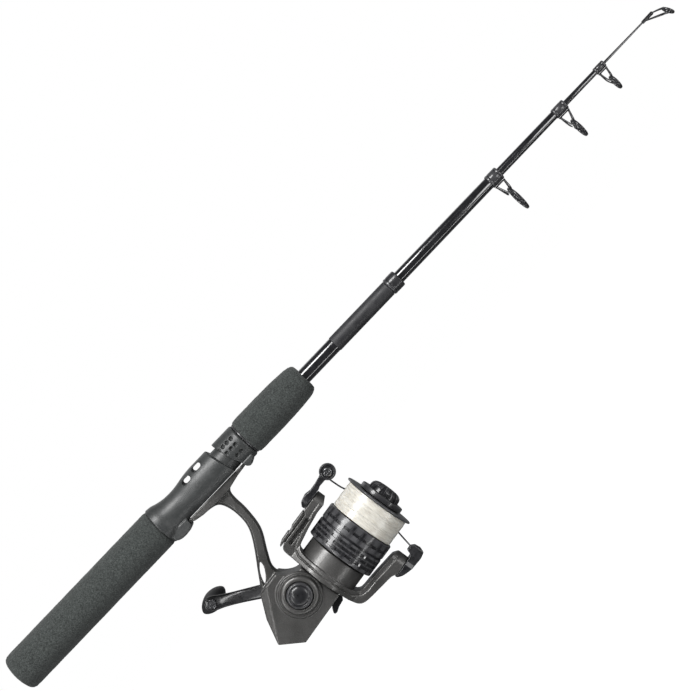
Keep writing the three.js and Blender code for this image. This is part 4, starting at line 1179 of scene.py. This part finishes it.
def make_bail_wire():
    x, z = ROLLER_AT
    place = across(REEL, x, z)
    wire = bar("wire", [
        (x, 1, z - 1), (x - 2.6, 8, z - 1.6), (66.4, 18, 33.4), (65.6, 27, 28), (65.9, 33.2, 20),
        (69, 38.6, 10), (72.4, 41, 0), (69, 38.8, -10), (65.2, 33.4, -20), (63.6, 26, -28),
        (63, 16, -33.4), (62.6, 4.9, -36.2),
    ], 0.55, REEL, 10, 18)
    clamp = turned("clamp", [(-0.3, 0), (-0.3, 3.6), (1.4, 3.6), (2, 2.6), (2, 0)], place, 48)
    join(wire, clamp)
    cut(wire, rod_x(SCREW_BORE, -2, 4, place, 32))
    stands_for(shaded(wire, 40), "bail_wire")


def make_bail_holder():
    side = [
        (43, -35.6), (59.2, -35.6), (60.4, -34), (60.8, -32.2), (64.2, -32.1), (66.4, -34.2), (66.9, -38),
        (65.8, -41), (62, -41.8), (54, -41.1), (47, -39), (43, -36.8),
    ]
    plan = [
        *arc(BAIL_PIVOT, 0, ARM_HALF + 0.3, 0.3 * math.pi, 1.7 * math.pi),
        (66, -4), (67.5, -2), (67.5, 2), (66, 4),
    ]
    holder = common(prism(side, -9, 9, place=REEL), prism(plan, -44, -30, "XY", REEL))
    join(holder, rod_x(1.3, -38, -31, upward(REEL, BAIL_PIVOT, 0), 24))
    stands_for(cast(holder, 0.26, 3), "bail_holder")


# ---- spool ----
SKIRT_RADIUS = 22.9
ARBOR = 17
LINE_FROM = 56.5
LINE_TO = 74.3
SPOOL_BORE = 2.1
DRAG_WELL = 13.6
# Each row of slots in the skirt: where it starts, and how far it is turned, as a share of one slot.
SLOT_ROWS = ((36.4, 0.0), (39.3, 0.5), (42.2, 0.0), (50.2, 0.5))
SLOT_LENGTH = 1.9
SLOTS_ROUND = 20
SLOT_DEPTH = 0.9
LINE_PITCH = 0.32
LINE_LEVEL = 21.33
STRAND_LEVEL = 21.42
STRAND_STEPS = 96
STRAND_TURNS = 2.5
KNOB_RIB_DEPTH = 1.3
KNOB_RIBS = 13
KNOB_GRIP_RADIUS = 11
KNOB_DOME = [
    (79.5, 10.7), (81.6, 10.5), (82.8, 10.1), (83.7, 9.3), (84.4, 8.0), (84.8, 6.4), (85, 4.4), (85.05, 2),
]


def skirt_slots(x, radius, angle):
    """Staggered rows of shallow slots round the outside of the skirt."""
    if radius < SKIRT_RADIUS - 0.1:
        return 0
    for start, turn in SLOT_ROWS:
        if start < x < start + SLOT_LENGTH:
            share = (angle / (2 * math.pi) * SLOTS_ROUND + turn) % 1
            return SLOT_DEPTH if 0.2 < share < 0.8 else 0
    return 0


def make_spool():
    skirt = SKIRT_RADIUS
    rows = []
    for start, _ in SLOT_ROWS:
        end = start + SLOT_LENGTH
        rows += [(x, skirt) for x in (start, start + 0.15, end - 0.15, end)]
    profile = [
        (34, 21.4), (34, skirt - 0.5), (34.2, skirt - 0.15), (34.6, skirt), *rows[:12],
        (45.6, skirt), (45.9, skirt - 0.45), (46.9, skirt - 0.45), (47.2, skirt), *rows[12:],
        (55.6, skirt), (56.2, skirt - 0.15), (LINE_FROM, skirt - 0.5),
        (LINE_FROM, ARBOR), (LINE_TO, ARBOR), (LINE_TO, 23.2), (74.6, 23.5), (74.9, 23.6),
        (75.3, 23.5), (75.5, 23.1), (75.5, DRAG_WELL), (68, DRAG_WELL), (68, SPOOL_BORE),
        (50, SPOOL_BORE), (50, 7), (54, 7), (54, 21.4),
    ]
    spool = turned("spool", profile, REEL, SLOTS_ROUND * 14, skirt_slots)
    stands_for(shaded(spool, 32), "spool")


def make_line():
    """The wound line: a body of close turns, with a few strands that cross over them."""
    turns = []
    x = LINE_FROM + 0.45
    while x < LINE_TO - 0.65:
        level = LINE_LEVEL + 0.07 * math.sin(x * 1.1) + 0.05 * noise.noise(Vector((x * 0.8, 0, 0)))
        turns += [(x, level), (x + 0.16, level + 0.12)]
        x += LINE_PITCH
    rear = LINE_FROM + 0.3
    front = LINE_TO - 0.3
    inner = ARBOR + 0.3
    profile = [(rear, inner), (rear, 21.2), *turns, (front, 21.2), (front, inner)]
    body = turned("line", profile, REEL, 144)
    for start, way in ((0.0, 1), (2.1, -1), (4.2, 1)):
        path = []
        for n in range(STRAND_STEPS + 1):
            share = n / STRAND_STEPS
            angle = start + way * share * 2 * math.pi * STRAND_TURNS
            along = LINE_FROM + 0.9 + (LINE_TO - LINE_FROM - 1.8) * share
            path.append((along, STRAND_LEVEL * math.cos(angle), STRAND_LEVEL * math.sin(angle)))
        strand = bar("strand", path, 0.14, REEL, 2, 8)
        join_plain(body, strand)
    body.data.shade_smooth()
    stands_for(body, "line_on_spool")


def knob_ribs(x, radius, angle):
    """Straight grooves between the ribs of the drag knob's dome."""
    if x < KNOB_DOME[0][0] or radius > KNOB_GRIP_RADIUS or radius < 5:
        return 0
    wave = math.cos(angle * KNOB_RIBS)
    return KNOB_RIB_DEPTH * min(1, max(0, 0.3 + 1.8 * wave))


def make_drag_knob():
    body = turned("drag_knob", [
        (73.4, 0), (73.4, 9), (75.9, 9), (75.9, 14.4), (76.2, 14.9), (76.6, 15), (78.6, 15), (79, 14.9),
        (79.3, 14.4), (79.3, 11.4), *KNOB_DOME, (85.05, 0),
    ], REEL, KNOB_RIBS * 14, knob_ribs)
    cut(body, rod_x(2.1, 70, 79.6, REEL))
    stands_for(shaded(body, 34), "drag_knob")


# ---- CAD nodes that keep their shape ----
CAST_NODES = ("crank_hub", "anti_reverse_lever")
WELD_WITHIN = 1e-6


def dress_cad_nodes():
    """Every CAD node still shown gets its material and rounded edges, as modifiers."""
    for node, shown in frame["nodes"].items():
        if shown.hide_render:
            continue
        shown.data.materials.clear()
        shown.data.materials.append(PAINTS[SLOT_OF[node]])
        weld = shown.modifiers.new("weld", "WELD")
        weld.merge_threshold = WELD_WITHIN
        if node in CAST_NODES:
            softened(shown, 0.24, 3)
        else:
            bevelled(shown, 0.1, 2, 30)


# ---- camera, lights and floor ----
VIEW_CENTRE = Vector((0.2845, 0, -0.0026))
VIEW_DISTANCE = 1.0
SENSOR = 36
LENS = 84
ROOM_LIGHT = 0.13
ROOM_TINT = (0.95, 0.98, 1, 1)
WHITE = (1, 1, 1, 1)
FLOOR_GLOW = 0.9
FLOOR_REACH = 6000
FLOOR_DROP = 260
FLOOR_THICKNESS = 5
# Each light: its place and its size in metres, and its power in watts.
LIGHTS = [
    ("key", (0.2, -0.75, 0.85), (0.7, 0.35), 17),
    ("strip", (-0.25, -0.9, 0.45), (0.08, 1.0), 4),
    ("fill", (0.95, -0.8, -0.3), (0.35, 0.5), 4),
    ("left", (-0.8, -0.6, 0.1), (0.3, 0.6), 4),
    ("under", (0.3, -0.22, -0.35), (1.4, 0.03), 1.2),
    ("back", (0.3, 1.0, 0.7), (1.4, 0.8), 2.5),
]
IMAGE_RIGHT = Vector((0.6911, 0, -0.7227))
IMAGE_UP = Vector((0.7227, 0, 0.6911))


def make_camera():
    camera = bpy.data.objects.new("camera", bpy.data.cameras.new("camera"))
    bpy.context.scene.collection.objects.link(camera)
    camera.data.sensor_width = SENSOR
    camera.data.lens = LENS
    back = Vector((0, -1, 0))
    turn = Matrix((IMAGE_RIGHT.normalized(), IMAGE_UP.normalized(), back)).transposed().to_4x4()
    camera.matrix_world = Matrix.Translation(VIEW_CENTRE + back * VIEW_DISTANCE) @ turn
    bpy.context.scene.camera = camera


def make_light(name, place, size, power):
    lamp = bpy.data.lights.new(name, "AREA")
    lamp.shape = "RECTANGLE"
    lamp.size, lamp.size_y = size
    lamp.energy = power
    made = bpy.data.objects.new(name, lamp)
    bpy.context.scene.collection.objects.link(made)
    made.location = place
    made.rotation_mode = "QUATERNION"
    made.rotation_quaternion = (VIEW_CENTRE - Vector(place)).to_track_quat("-Z", "Y")


def light_the_room(tree):
    """A white backdrop, in a room whose own light on the object is dim."""
    dim = tree.nodes["Background"]
    dim.inputs["Color"].default_value = ROOM_TINT
    dim.inputs["Strength"].default_value = ROOM_LIGHT
    white = tree.nodes.new("ShaderNodeBackground")
    white.inputs["Color"].default_value = WHITE
    white.inputs["Strength"].default_value = 1.0
    seen = tree.nodes.new("ShaderNodeLightPath").outputs["Is Camera Ray"]
    both = tree.nodes.new("ShaderNodeMixShader")
    tree.links.new(seen, both.inputs["Fac"])
    tree.links.new(dim.outputs[0], both.inputs[1])
    tree.links.new(white.outputs[0], both.inputs[2])
    tree.links.new(both.outputs[0], tree.nodes["World Output"].inputs["Surface"])


def make_stage():
    top = cad_bounds[0].z / MM - FLOOR_DROP
    reach = (-FLOOR_REACH, FLOOR_REACH)
    floor = block(*reach, *reach, top - FLOOR_THICKNESS, top)
    floor.name = "floor"
    paint = Paint("floor")
    cloud = paint.noise(300, 2, 0.5)
    paint.colour(paint.ramp(cloud, [(0.3, 0.92), (0.7, 0.94)]))
    paint.shader.inputs["Roughness"].default_value = 0.9
    paint.shader.inputs["Emission Color"].default_value = WHITE
    paint.shader.inputs["Emission Strength"].default_value = FLOOR_GLOW
    floor.data.materials.append(paint.material)
    # The floor is seen, but sends none of its glow up at the object.
    floor.visible_diffuse = False
    floor.visible_glossy = False
    world = bpy.data.worlds.new("studio")
    world.use_nodes = True
    light_the_room(world.node_tree)
    bpy.context.scene.world = world
    bpy.context.scene.view_settings.view_transform = "Standard"


make_camera()
make_grips()
make_butt_cap()
make_blank()
make_sections()
make_reel_seat()
make_hood()
make_lock_nut()
make_guides()
make_tip_top()
make_reel_body()
make_side_cover()
make_cover_screws()
make_screw_cap()
make_crank_arm()
make_knob()
make_rotor()
make_roller()
make_bail_arm()
make_bail_wire()
make_bail_holder()
make_spool()
make_line()
make_drag_knob()
dress_cad_nodes()
for row in LIGHTS:
    make_light(*row)
make_stage()
